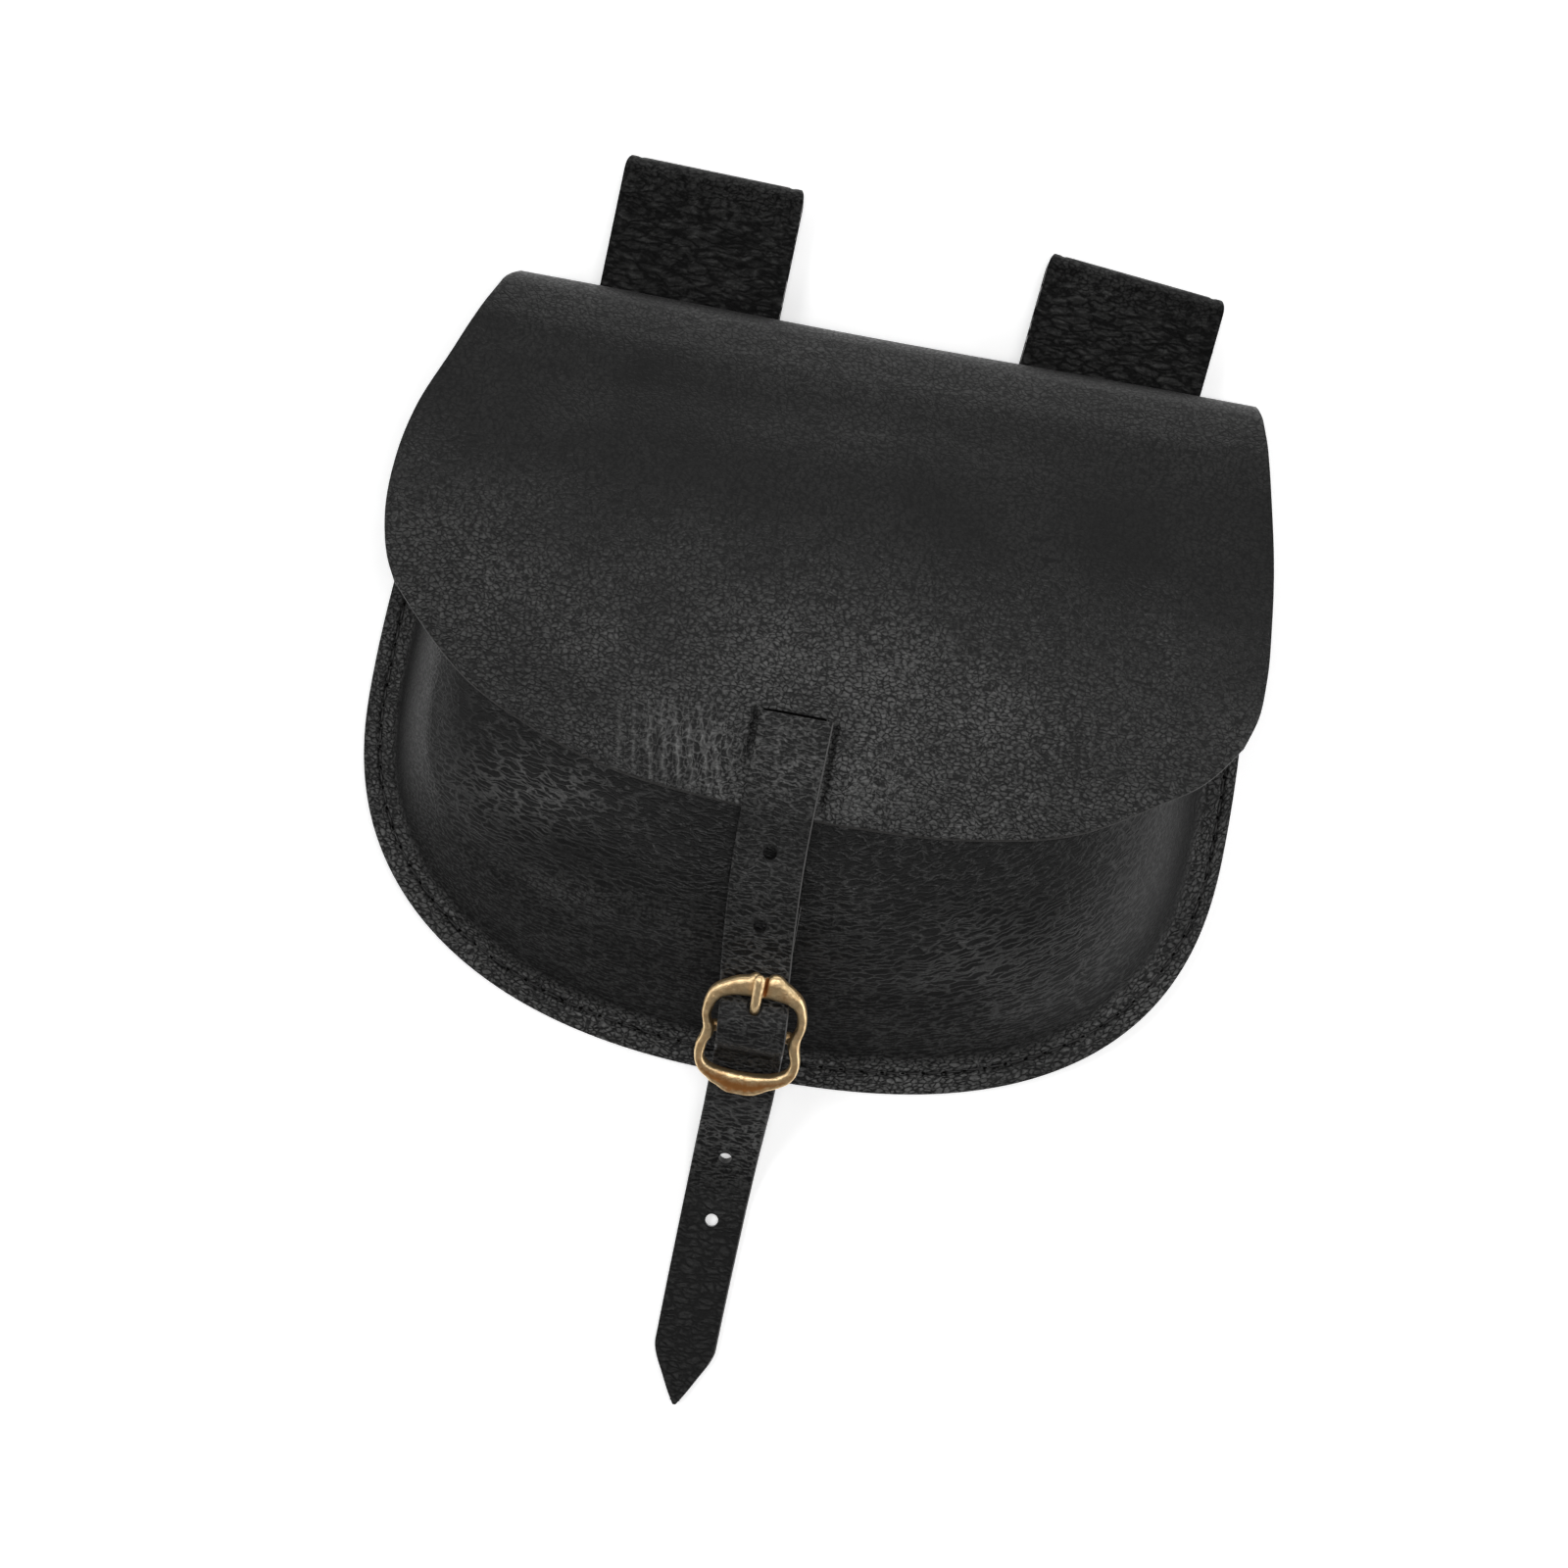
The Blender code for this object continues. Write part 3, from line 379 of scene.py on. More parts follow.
def flesh_side(name: str) -> FibreFinish:
    """Finish the under side of a hide dyed through: short matt fibres half a millimetre wide, no gloss."""
    return FibreFinish(name, "#0E0C0B", "#171412", {"Roughness": 0.9, "Specular IOR Level": 0.2},
                       {"Scale": 1 / (0.5 * MM), "Detail": 4.0, "Roughness": 0.7}, relief=0.15 * MM)


def cut_edge(name: str, pale: str) -> FibreFinish:
    """Finish a cut edge of the hide, rubbed with wax; its paler tone is partly the edge's own and partly a
    painted highlight of its shine, a thin lighter line.
    """
    return FibreFinish(name, "#151312", pale, {"Roughness": 0.36},
                       {"Scale": 1 / (0.9 * MM), "Detail": 3.0}, relief=0.08 * MM)


def deep_hole(name: str) -> FibreFinish:
    """Paint the shade down inside a slit or a stitch hole, where no light gets out, as black, matt raw
    leather.
    """
    return FibreFinish(name, "#030303", "#0B0A0A", {"Roughness": 1.0, "Specular IOR Level": 0.0},
                       {"Scale": 1 / (0.4 * MM)})


@dataclass(frozen=True)
class CastBrass:
    """Sand-cast yellow brass, tumbled and left to tarnish.

    The high places are rubbed to a pale warm gold, and brown tarnish stays in the hollows and pits.
    """

    name: str
    bright: str = "#F2D6A6"
    tarnish: str = "#A8723F"
    roughness: tuple[float, float] = (0.38, 0.58)
    pit: float = 1.1 * MM
    lump: float = 3.52 * MM
    tarnished: tuple[float, float] = (0.34, 1.25)
    relief: float = 0.16 * MM

    def material(self) -> Material:
        """Build the brass's nodes.

        Returns:
            The material.
        """
        material, shader = new_material(self.name, {"Metallic": 1.0})
        tree = material.node_tree
        place = add_node(tree, "ShaderNodeTexCoord").outputs["Object"]
        sand = add_node(tree, "ShaderNodeTexNoise", {
            "Vector": place, "Scale": 1 / self.pit, "Detail": 4.0, "Roughness": 0.62}).outputs["Fac"]
        lumps = add_node(tree, "ShaderNodeTexNoise", {
            "Vector": place, "Scale": 1 / self.lump, "Detail": 1.0}).outputs["Fac"]
        hollow = add_node(tree, "ShaderNodeAttribute", attribute_name="hollow").outputs["Fac"]
        dull = add_node(tree, "ShaderNodeMath", {0: sand, 1: 0.9, 2: hollow},
                        operation="MULTIPLY_ADD").outputs[0]
        low, high = self.tarnished
        share = add_node(tree, "ShaderNodeMapRange", {"Value": dull, "From Min": low, "From Max": high},
                         interpolation_type="SMOOTHSTEP").outputs[0]
        tones = {"Factor": share, 6: linear(self.bright), 7: linear(self.tarnish)}
        colour = add_node(tree, "ShaderNodeMix", tones, data_type="RGBA").outputs[2]
        tree.links.new(colour, shader.inputs["Base Color"])
        sharp, soft = self.roughness
        rough = add_node(tree, "ShaderNodeMapRange",
                         {"Value": share, "To Min": sharp, "To Max": soft}).outputs[0]
        tree.links.new(rough, shader.inputs["Roughness"])
        height = add_node(tree, "ShaderNodeMath", {0: lumps, 1: 2.0, 2: sand},
                          operation="MULTIPLY_ADD").outputs[0]
        bump = add_node(tree, "ShaderNodeBump", {"Height": height, "Distance": self.relief}).outputs[0]
        tree.links.new(bump, shader.inputs["Normal"])
        return material


@dataclass(frozen=True)
class WaxedThread:
    """Twisted linen thread, black and waxed: a dull round cord with a slanting twist."""

    name: str
    dye: str = "#0C0B0B"
    twist: float = 0.55 * MM

    def material(self) -> Material:
        """Build the thread's nodes.

        Returns:
            The material.
        """
        material, shader = new_material(self.name, {"Roughness": 0.5, "Base Color": linear(self.dye)})
        tree = material.node_tree
        place = add_node(tree, "ShaderNodeTexCoord").outputs["Object"]
        strands = add_node(tree, "ShaderNodeTexWave", {"Vector": place, "Scale": 1 / (20 * self.twist)},
                           bands_direction="DIAGONAL")
        bump = add_node(tree, "ShaderNodeBump", {"Height": strands.outputs["Fac"], "Distance": 0.1 * MM})
        tree.links.new(bump.outputs[0], shader.inputs["Normal"])
        return material


def primitive(operator: Callable[..., object], **size: object) -> Object:
    """Add a primitive with nothing else selected.

    Args:
        operator: Blender's operator that adds it.
        size: The operator's settings.

    Returns:
        The new object.
    """
    bpy.ops.object.select_all(action="DESELECT")
    operator(**size)
    return bpy.context.object


def pick(*things: Object) -> None:
    """Select these objects alone, and make the first one active.

    Args:
        things: The objects.
    """
    bpy.ops.object.select_all(action="DESELECT")
    for thing in things:
        thing.select_set(True)
    bpy.context.view_layer.objects.active = things[0]


def apply_all(thing: Object) -> None:
    """Apply an object's modifiers in their order.

    Args:
        thing: The object.
    """
    pick(thing)
    for modifier in list(thing.modifiers):
        bpy.ops.object.modifier_apply(modifier=modifier.name)


def combine(piece: Object, tool: Object, operation: str,
            materials: str = "INDEX") -> None:
    """Cut a tool out of a piece or join the two, and delete the tool.

    Args:
        piece: The piece that is kept.
        tool: The other one.
        operation: The Boolean operation's name.
        materials: How the tool's material goes over to the piece.
    """
    change = piece.modifiers.new("change", "BOOLEAN")
    change.operation = operation
    change.solver = "EXACT"
    change.material_mode = materials
    change.object = tool
    apply_all(piece)
    bpy.data.objects.remove(tool, do_unlink=True)


@dataclass(frozen=True)
class Zone:
    """Soft-edged place on a hide: its middle and its reach each way, in millimetres."""

    x: float
    y: float
    wide: float
    high: float

    def at(self, x: float, y: float) -> float:
        """Give how strongly the zone shows at a place in millimetres."""
        return bell(x, self.x, self.wide) * bell(y, self.y, self.high)


@dataclass
class Weights:
    """How strong each fine relief is at one place on a sheet, from 0 to 1."""

    pebbled: float = 0.6
    creased: float = 0.3
    pulled: float = 0.0
    dry: float = 0.0
    # how much the dye is paled, by wear and as painted light
    rubbed_and_lit: float = 0.3
    # how strong the painted highlight on a wrinkle's crest or a fold's lip is
    crest_highlight: float = 0.0


@dataclass
class Sheet:
    """One piece of leather laid along rows of points, with its wall, rim and finishes."""

    name: str
    rows: Sequence[Row]
    wall: float
    finishes: Sequence[Material]
    weights: Callable[[Vector], Weights] = field(default=lambda point: Weights())
    lay: Callable[[Vector], Vector] = field(default=lambda point: point)
    edge: float = 0.45 * MM
    sharpest: float = math.radians(55)
    # pale strips on the rims: the first side's as a painted highlight, the end's as wear and a painted
    # highlight
    highlight_first_side: bool = False
    worn_and_lit_end: bool = False

    def build(self) -> Object:
        """Lay the sheet.

        Returns:
            The sheet's object.
        """
        along, across = len(self.rows) - 1, len(self.rows[0]) - 1
        sheet = primitive(bpy.ops.mesh.primitive_grid_add, size=2.0,
                          x_subdivisions=across, y_subdivisions=along)
        sheet.name = sheet.data.name = self.name
        mesh = sheet.data
        flat = np.empty(len(mesh.vertices) * 3)
        mesh.vertices.foreach_get("co", flat)
        flat = flat.reshape(-1, 3)
        columns = np.rint((flat[:, 0] + 1) / 2 * across).astype(int)
        lines = np.rint((flat[:, 1] + 1) / 2 * along).astype(int)
        places = np.array(self.rows)[lines, columns]
        mesh.vertices.foreach_set("co", places.ravel())
        self.weigh(mesh, places)
        self.wear_and_highlight(mesh, columns, lines)
        self.give_wall(sheet)
        return sheet

    def weigh(self, mesh: Mesh, places: np.ndarray) -> None:
        """Write how strong each relief is at each vertex, and where the hide's pattern is read.

        Args:
            mesh: The sheet's mesh.
            places: Where its vertices are.
        """
        weights = [self.weights(Vector(place)) for place in places]
        for name in Weights.__dataclass_fields__:
            layer = mesh.attributes.new(name, "FLOAT", "POINT")
            layer.data.foreach_set("value", [getattr(weight, name) for weight in weights])
        layer = mesh.attributes.new("lay", "FLOAT_VECTOR", "POINT")
        layer.data.foreach_set("vector", np.array([self.lay(Vector(place)) for place in places]).ravel())

    def wear_and_highlight(self, mesh: Mesh, columns: np.ndarray, lines: np.ndarray) -> None:
        """Give the outermost faces the cut edge's paler finish: along the first side as a painted highlight
        on the rim, along the end as wear through the dye and a painted highlight.

        Args:
            mesh: The sheet's mesh.
            columns: The column of each vertex.
            lines: The row of each vertex.
        """
        for face in mesh.polygons:
            corners = list(face.vertices)
            at_side = columns[corners].min() == 0
            at_end = lines[corners].max() == len(self.rows) - 1
            if self.highlight_first_side and at_side or self.worn_and_lit_end and at_end:
                face.material_index = EDGE

    def give_wall(self, sheet: Object) -> None:
        """Merge doubled points, then give the sheet its wall, its rounded rim, its grain, flesh and cut edge.

        Args:
            sheet: The sheet's object.
        """
        pick(sheet)
        bpy.ops.object.mode_set(mode="EDIT")
        bpy.ops.mesh.select_all(action="SELECT")
        bpy.ops.mesh.remove_doubles(threshold=MERGE)
        bpy.ops.object.mode_set(mode="OBJECT")
        for finish in self.finishes:
            sheet.data.materials.append(finish)
        wall = sheet.modifiers.new("wall", "SOLIDIFY")
        wall.thickness = self.wall
        wall.offset = -1.0
        wall.use_even_offset = True
        wall.material_offset = FLESH
        wall.material_offset_rim = EDGE
        rim = sheet.modifiers.new("rim", "BEVEL")
        rim.width = self.edge
        rim.segments = 2
        rim.limit_method = "ANGLE"
        rim.angle_limit = self.sharpest
        rim.miter_outer = "MITER_ARC"
        rim.material = EDGE
        apply_all(sheet)
        bpy.ops.object.shade_smooth()


class Loft:
    """Solid piece drawn out from a ring of points by extruding it from section to section."""

    def __init__(self, name: str, sections: Sequence[Row], closed: bool) -> None:
        """Keep what the piece is made from.

        Args:
            name: The piece's name.
            sections: Rings of points, each with as many points.
            closed: Whether the last section joins the first.
        """
        self.name = name
        self.sections = list(sections) + ([sections[0]] if closed else [])
        self.closed = closed

    def build(self) -> Object:
        """Extrude the ring along the sections.

        Returns:
            The piece's object.
        """
        count = len(self.sections[0])
        piece = primitive(bpy.ops.mesh.primitive_circle_add, vertices=count, fill_type="NOTHING")
        piece.name = piece.data.name = self.name
        for vertex, point in zip(piece.data.vertices, self.sections[0]):
            vertex.co = point
        piece.data.attributes.new("spot", "INT", "POINT").data.foreach_set("value", range(count))
        bpy.ops.object.mode_set(mode="EDIT")
        bpy.ops.mesh.select_all(action="SELECT")
        for section in self.sections[1:]:
            bpy.ops.mesh.extrude_region_move()
            shape = bmesh.from_edit_mesh(piece.data)
            spot = shape.verts.layers.int["spot"]
            for vertex in shape.verts:
                if vertex.select:
                    vertex.co = section[vertex[spot]]
            bmesh.update_edit_mesh(piece.data)
        bpy.ops.mesh.select_all(action="SELECT")
        if self.closed:
            bpy.ops.mesh.remove_doubles(threshold=MERGE)
        else:
            bpy.ops.mesh.fill_holes(sides=0)
        bpy.ops.mesh.select_all(action="SELECT")
        bpy.ops.mesh.normals_make_consistent(inside=False)
        bpy.ops.object.mode_set(mode="OBJECT")
        bpy.ops.object.shade_smooth()
        return piece


@dataclass(frozen=True)
class Fold:
    """One soft fold: its place, turn and size as shares of the body, and its height as one of the leather."""

    across: float
    up: float
    turn: float
    length: float
    width: float
    height: float


@dataclass
class PouchForm:
    """The pouch's own shape: the outline, the back's way over the loops, the front's bulge and the flap."""

    leather: float = 2.2 * MM
    loop_leather: float = 2.0 * MM
    clearance: float = 0.3 * MM
    flap_slack: float = 0.9 * MM
    half_width: float = 108.0 * MM
    depth: float = 79.5 * MM
    rise: float = 105.0 * MM
    fold_half_width: float = 91.5 * MM
    roundness_left: float = 2.36
    roundness_right: float = 2.55
    flange: float = 7.0 * MM
    bulge: float = 44.5 * MM
    side_droop: float = 8.0 * MM
    droop_power: float = 2.5
    wall_run_left: float = 12.0 * MM
    wall_run_right: float = 18.0 * MM
    wall_run_bottom: float = 21.0 * MM
    spine_below: float = 26.0 * MM
    belt_gap: float = 5.2 * MM
    flap_reach: float = 13.8 * MM
    flap_corner_rise: float = 24.1 * MM
    fold_nose: float = 9.0 * MM
    fold_sag: float = 0.6 * MM
    mouth: float = 88.2 * MM
    strap_x: float = 0.7 * MM
    seat_ramp: tuple[float, float] = (0.31, 0.43)
    stack_ramp: tuple[float, float] = (0.56, 0.77)
    slow_size: float = 27 * MM
    slow_height: float = 0.42 * MM
    quick_size: float = 11 * MM
    quick_height: float = 0.16 * MM
    calm_by_strap: tuple[float, float] = (9 * MM, 26 * MM)
    calm_at_fold: tuple[float, float] = (70 * MM, 95 * MM)

    def __post_init__(self) -> None:
        """Draw the curves that the shape follows."""
        self.loop_seat = self.loop_leather + self.clearance
        self.loop_stack = 2 * self.loop_leather + self.belt_gap + self.clearance
        self.crown = SmoothCurve([
            (-1.00, 0.72), (-0.65, 0.77), (-0.44, 0.83), (-0.16, 0.93), (0.02, 0.98), (0.17, 1.00),
            (0.34, 0.97), (0.50, 0.92), (0.76, 0.74), (0.92, 0.61), (1.00, 0.46),
        ])
        self.wall = SmoothCurve([
            (0.00, 0.00), (0.15, 0.11), (0.35, 0.30), (0.60, 0.53), (0.85, 0.70), (1.00, 0.77),
            (1.35, 0.88), (1.80, 0.955), (2.40, 0.99), (3.20, 1.00),
        ])
        self.side_left = SmoothCurve([
            (0.195, 0.930), (0.230, 0.948), (0.275, 0.971), (0.365, 0.996), (0.500, 1.001), (0.635, 0.977),
            (0.770, 0.927), (0.862, 0.892), (0.925, 0.866), (0.965, 0.846), (1.000, 0.815),
        ])
        self.side_right = SmoothCurve([
            (0.195, 0.952), (0.230, 0.964), (0.275, 0.977), (0.365, 0.982), (0.500, 0.972), (0.635, 0.954),
            (0.770, 0.928), (0.862, 0.908), (0.925, 0.893), (0.965, 0.880), (1.000, 0.865),
        ])
        self.edge_lift = SmoothCurve([
            (-1.00, 1.00), (-0.93, 0.80), (-0.82, 0.53), (-0.62, 0.25), (-0.45, 0.106), (-0.14, 0.013),
            (0.16, 0.00), (0.43, 0.06), (0.68, 0.24), (0.82, 0.47), (0.95, 0.74), (1.00, 0.93),
        ])
        self.flap_folds = (
            Fold(-0.34, -0.02, 82, 0.070, 0.022, 0.34), Fold(-0.22, 0.01, 88, 0.060, 0.020, 0.30),
            Fold(0.24, 0.02, 95, 0.060, 0.022, 0.25), Fold(-0.78, 0.42, 60, 0.090, 0.040, 0.45),
            Fold(-0.62, 0.60, 40, 0.080, 0.040, 0.30), Fold(0.80, 0.40, 110, 0.090, 0.040, 0.30),
            Fold(0.10, 0.72, 4, 0.300, 0.045, 0.35),
        )
        self.front_folds = (
            Fold(-0.62, -0.34, 12, 0.080, 0.026, 0.40), Fold(-0.52, -0.50, -22, 0.090, 0.028, -0.45),
            Fold(-0.34, -0.36, -8, 0.080, 0.026, 0.30), Fold(0.44, -0.40, 14, 0.100, 0.028, -0.45),
            Fold(0.62, -0.30, 30, 0.090, 0.028, 0.40), Fold(0.28, -0.58, 16, 0.080, 0.026, 0.30),
        )

    def edge_half_width(self, y: float, side: float) -> float:
        """Give half the body's width.

        Args:
            y: Height on the body.
            side: Negative for the left half.

        Returns:
            The distance from the middle to the outline.
        """
        if y < 0:
            power = self.roundness_left if side < 0 else self.roundness_right
            return self.half_width * (1 - min(-y / self.depth, 1.0) ** power) ** (1 / power)
        return self.half_width - (self.half_width - self.fold_half_width) * (y / self.rise) ** 2

    def lower_outline(self, angle: float) -> Vector:
        """Give a point of the U.

        Args:
            angle: Its place, from 0 at the left end through the bottom to half a turn at the right end.

        Returns:
            The point.
        """
        cosine, sine = math.cos(angle), math.sin(angle)
        power = 2 / (self.roundness_left if cosine > 0 else self.roundness_right)
        x = -math.copysign(self.half_width * abs(cosine) ** power, cosine)
        return Vector((x, -self.depth * max(sine, 0.0) ** power, 0.0))

    def inward(self, angle: float) -> Vector:
        """Give the way into the body, square to the U.

        Args:
            angle: The place on the U.

        Returns:
            The direction.
        """
        step = 0.01
        ahead, behind = min(angle + step, math.pi), max(angle - step, 0.0)
        along = self.lower_outline(ahead) - self.lower_outline(behind)
        return Vector((-along.y, along.x, 0.0)).normalized()

    def edge_line(self, top: float, side_cells: int, turn_cells: int) -> list[tuple[Vector, Vector, float]]:
        """Go down the body's left edge, round the U and up its right edge.

        Args:
            top: How high on the body the line starts and ends.
            side_cells: How many steps each side has.
            turn_cells: How many steps the U has.

        Returns:
            For each place, the place itself, the way inward and the angle on the U.
        """
        heights = np.linspace(top, 0.0, side_cells + 1).tolist()
        angles = (math.pi * turn / turn_cells for turn in range(1, turn_cells))
        right = Vector((1.0, 0.0, 0.0))
        line = [(Vector((-self.edge_half_width(y, -1), y, 0.0)), right, 0.0) for y in heights]
        line += [(self.lower_outline(angle), self.inward(angle), angle) for angle in angles]
        heights.reverse()
        return line + [(Vector((self.edge_half_width(y, 1), y, 0.0)), -right, math.pi) for y in heights]

    def share_up(self, y: float) -> float:
        """Give a height as a share of the rise, or of the depth where negative."""
        return y / self.rise if y > 0 else y / self.depth

    def back_under(self, y: float) -> float:
        """Give how high the back's underside is over the ground, as it climbs over the loops.

        Args:
            y: Height on the body.

        Returns:
            The height over the ground.
        """
        up = self.share_up(y)
        stack = self.loop_stack - self.loop_seat
        return self.loop_seat * ramp(up, *self.seat_ramp) + stack * ramp(up, *self.stack_ramp)

    def flange_top(self, y: float) -> float:
        """Give the height of the sewn flange's upper side."""
        return self.back_under(y) + (2 * self.leather + self.clearance) * slope_factor(self.back_under, y)

    def unevenness(self, x: float, y: float) -> float:
        """Give the hide's own slow unevenness, which fades out under the strap and at the fold.

        Args:
            x: Place across the body.
            y: Height on the body.

        Returns:
            The height that it adds.
        """
        slow = noise.noise(Vector((x, y, 0.0)) / self.slow_size)
        quick = noise.noise(Vector((x + 1.0, y, 0.3)) / self.quick_size)
        clear = ramp(abs(x - self.strap_x), *self.calm_by_strap) * (1 - ramp(y, *self.calm_at_fold))
        return (self.slow_height * slow + self.quick_height * quick) * clear

    def crown_top(self, x: float, y: float) -> float:
        """Give the height of the crown, which droops towards the sides.

        Args:
            x: Place across the body.
            y: Height on the body.

        Returns:
            The height over the ground.
        """
        towards_fold = min(max((1 - y / self.rise) * 2, 0.0), 1.0)
        droop = self.side_droop * (abs(x) / self.half_width) ** self.droop_power * towards_fold
        return self.bulge * self.crown(self.share_up(y)) - droop + self.unevenness(x, y)

    def folds_at(self, folds: Sequence[Fold], x: float, y: float) -> float:
        """Add up soft folds.

        Args:
            folds: The folds.
            x: Place across the body.
            y: Height on the body.

        Returns:
            The height that they add there.
        """
        total, width = 0.0, 2 * self.half_width
        for fold in folds:
            turn = math.radians(fold.turn)
            dx = x - fold.across * self.half_width
            dy = y - fold.up * (self.rise if fold.up > 0 else self.depth)
            along = (dx * math.cos(turn) + dy * math.sin(turn)) / (fold.length * width)
            aside = (dy * math.cos(turn) - dx * math.sin(turn)) / (fold.width * width)
            total += fold.height * self.leather * math.exp(-along * along - aside * aside)
        return total

    def front_top(self, x: float, y: float, way_in: float) -> float:
        """Give the height of the front's upper side.

        Args:
            x: Place across the body.
            y: Height on the body.
            way_in: How far in from the flange, as a share of the wall's run.

        Returns:
            The height over the ground.
        """
        low = self.flange_top(y)
        soft = self.folds_at(self.front_folds, x, y) * ramp(way_in, 0.0, 1.0)
        return low + (self.crown_top(x, y) + soft - low) * self.wall(way_in)

    def front_middle(self, y: float) -> float:
        """Give the height of the front's upper side along the middle."""
        return self.front_top(0.0, y, (self.depth + y - self.flange) / self.wall_run_bottom)

    def flap_top(self, x: float, y: float) -> float:
        """Give the height of the flap's upper side, which lies on the crown."""
        return self.crown_top(x, y) + self.leather + self.flap_slack + self.folds_at(self.flap_folds, x, y)

    def flap_edge(self, across: float) -> float:
        """Give how far up the flap's lower edge is, at a share of the way to a corner."""
        return -self.flap_reach + self.edge_lift(across) * (self.flap_corner_rise + self.flap_reach)

    def flap_half_width(self, y: float, across: float) -> float:
        """Give half the flap's width on the side that across points to."""
        side = self.side_left if across < 0 else self.side_right
        return self.half_width * side(y / self.rise)


def dress(piece: Object, slot: Slot, *nodes: str) -> None:
    """Let a piece ride on the body and stand for its CAD nodes.

    Args:
        piece: The finished piece.
        slot: Not used.
        nodes: The CAD nodes that it stands for.
    """
    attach(piece, BODY)
    if nodes:
        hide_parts(*nodes)
    piece.data.calc_loop_triangles()
    LOG.info("%s: %d triangles", piece.name, len(piece.data.loop_triangles))


@dataclass
class BackAndFlap:
    """The one hide that makes the back, the fold over the top and the flap.

    Sizes of its wrinkles, of the trenches beside the strap and of its zones are in millimetres. A wrinkle is
    its place across the flap, its lean, its height and its place up the flap. A trench is its place across,
    how far it reaches below the widest line and its depth.
    """

    form: PouchForm
    finishes: Sequence[Material]
    right_cells: int = 44
    middle_cells: int = 128
    left_cells: int = 30
    bottom_cells: int = 30
    side_cells: int = 38
    nose_cells: int = 24
    flap_cells: int = 86
    middle_shares: tuple[float, float] = (-0.46, 0.13)
    crowding: float = 0.4
    flap_crowding: float = 0.55
    edge_share: float = 0.0045
    edge_sunk: float = 0.22 * MM
    wrinkles: Table = (
        (-43.0, 0.14, 0.24, -1.0), (-39.2, 0.16, 0.22, -3.5), (-35.6, 0.20, 0.34, -2.0),
        (-32.0, 0.22, 0.34, -4.0), (-28.9, 0.23, 0.38, -2.5), (-25.4, 0.27, 0.36, -4.5),
        (-22.2, 0.31, 0.40, -3.0), (-18.9, 0.35, 0.36, -5.0), (-15.4, 0.38, 0.28, -5.0),
        (13.6, -0.10, 0.20, -4.0), (17.4, -0.16, 0.18, -3.0), (22.0, -0.20, 0.16, -4.0),
    )
    wrinkle_width: float = 0.50
    wrinkle_length: float = 10.5
    wander: float = 0.7
    wander_length: float = 5.0
    break_length: float = 2.2
    strap_trenches: Table = ((-11.9, 6.0, 1.0), (7.0, 14.0, 1.0))
    trench_width: float = 0.75
    trench_start: float = 6.0
    trench_end: tuple[float, float] = (8.5, 11.0)
    # the left lobe is more pebbled, and paled as a painted highlight
    lobe: Zone = Zone(-96, 32, 26, 24)
    pulled_left: Zone = Zone(-27, -2, 15, 13)
    pulled_right: Zone = Zone(20, -2, 12, 12)
    bottom_turn: float = math.radians(52.0)
    fold_turn: tuple[float, float] = (math.radians(-90.0), math.radians(56.0))

    def shares(self) -> list[float]:
        """Share out the columns, close together at the wrinkles and near the edges.

        Returns:
            Their places from the right edge to the left, from 1 to -1.
        """
        left, right = self.middle_shares
        from_right = 1.0 - (1.0 - right) * self.from_edge(self.right_cells)
        from_left = -1.0 + (1.0 + left) * self.from_edge(self.left_cells)
        middle = np.linspace(right, left, self.middle_cells + 1)
        return [*from_right[:-1].tolist(), *middle.tolist(), *from_left[::-1][1:].tolist()]

    def from_edge(self, cells: int) -> np.ndarray:
        """Give shares from 0 to 1 that start close together."""
        even = np.linspace(0.0, 1.0, cells + 1)
        return even * (1 - self.crowding + self.crowding * even)

    def bottom_rows(self) -> list[Row]:
        """Lay rows over the U.

        Returns:
            The rows, the first along its bottom and the last near its straight top.
        """
        form, rows = self.form, []
        start, end = self.bottom_turn, math.pi - self.bottom_turn
        left, right = form.lower_outline(start), form.lower_outline(end)
        for step in range(self.bottom_cells):
            up = step / self.bottom_cells
            angle = start * (1 - up)
            edge_left, edge_right = form.lower_outline(angle), form.lower_outline(math.pi - angle)
            row = []
            for share in self.shares():
                t = (share + 1) / 2
                bend = form.lower_outline(start + (end - start) * t) - left.lerp(right, t)
                row.append(edge_left.lerp(edge_right, t) + bend * (1 - up))
            rows.append(row)
        return rows

    def side_rows(self) -> list[Row]:
        """Lay rows up the back to where the fold starts.

        Returns:
            The rows.
        """
        form, rows = self.form, []
        for y in np.linspace(0.0, form.rise - form.fold_nose, self.side_cells + 1)[:-1].tolist():
            under, halves = form.back_under(y), (form.edge_half_width(y, share) for share in self.shares())
            rows.append([Vector((share * half, y, under)) for share, half in zip(self.shares(), halves)])
        return rows

    def nose_rows(self) -> list[Row]:
        """Lay rows round the fold.

        Returns:
            The rows, from the back's underside to the flap.
        """
        form, rows = self.form, []
        start = form.rise - form.fold_nose
        low, high = form.loop_stack, form.flap_top(0.0, start)
        for angle in np.linspace(*self.fold_turn, self.nose_cells + 1).tolist():
            out, lift = math.cos(angle), math.sin(angle)
            height = (low + high) / 2 + (high - low) / 2 * lift
            upper = ramp(lift, -1.0, 0.3)
            row = []
            for share in self.shares():
                y = start + form.fold_nose * out - form.fold_sag * out * math.cos(share * math.pi / 2) ** 2
                back_side = form.edge_half_width(start, share)
                front_side = form.flap_half_width(start + form.fold_nose * out, share)
                side = back_side + (front_side - back_side) * upper
                droop = (form.flap_top(0.0, start) - form.flap_top(share * side, start)) * upper
                row.append(Vector((share * side, y, height - droop)))
            rows.append(row)
        return rows

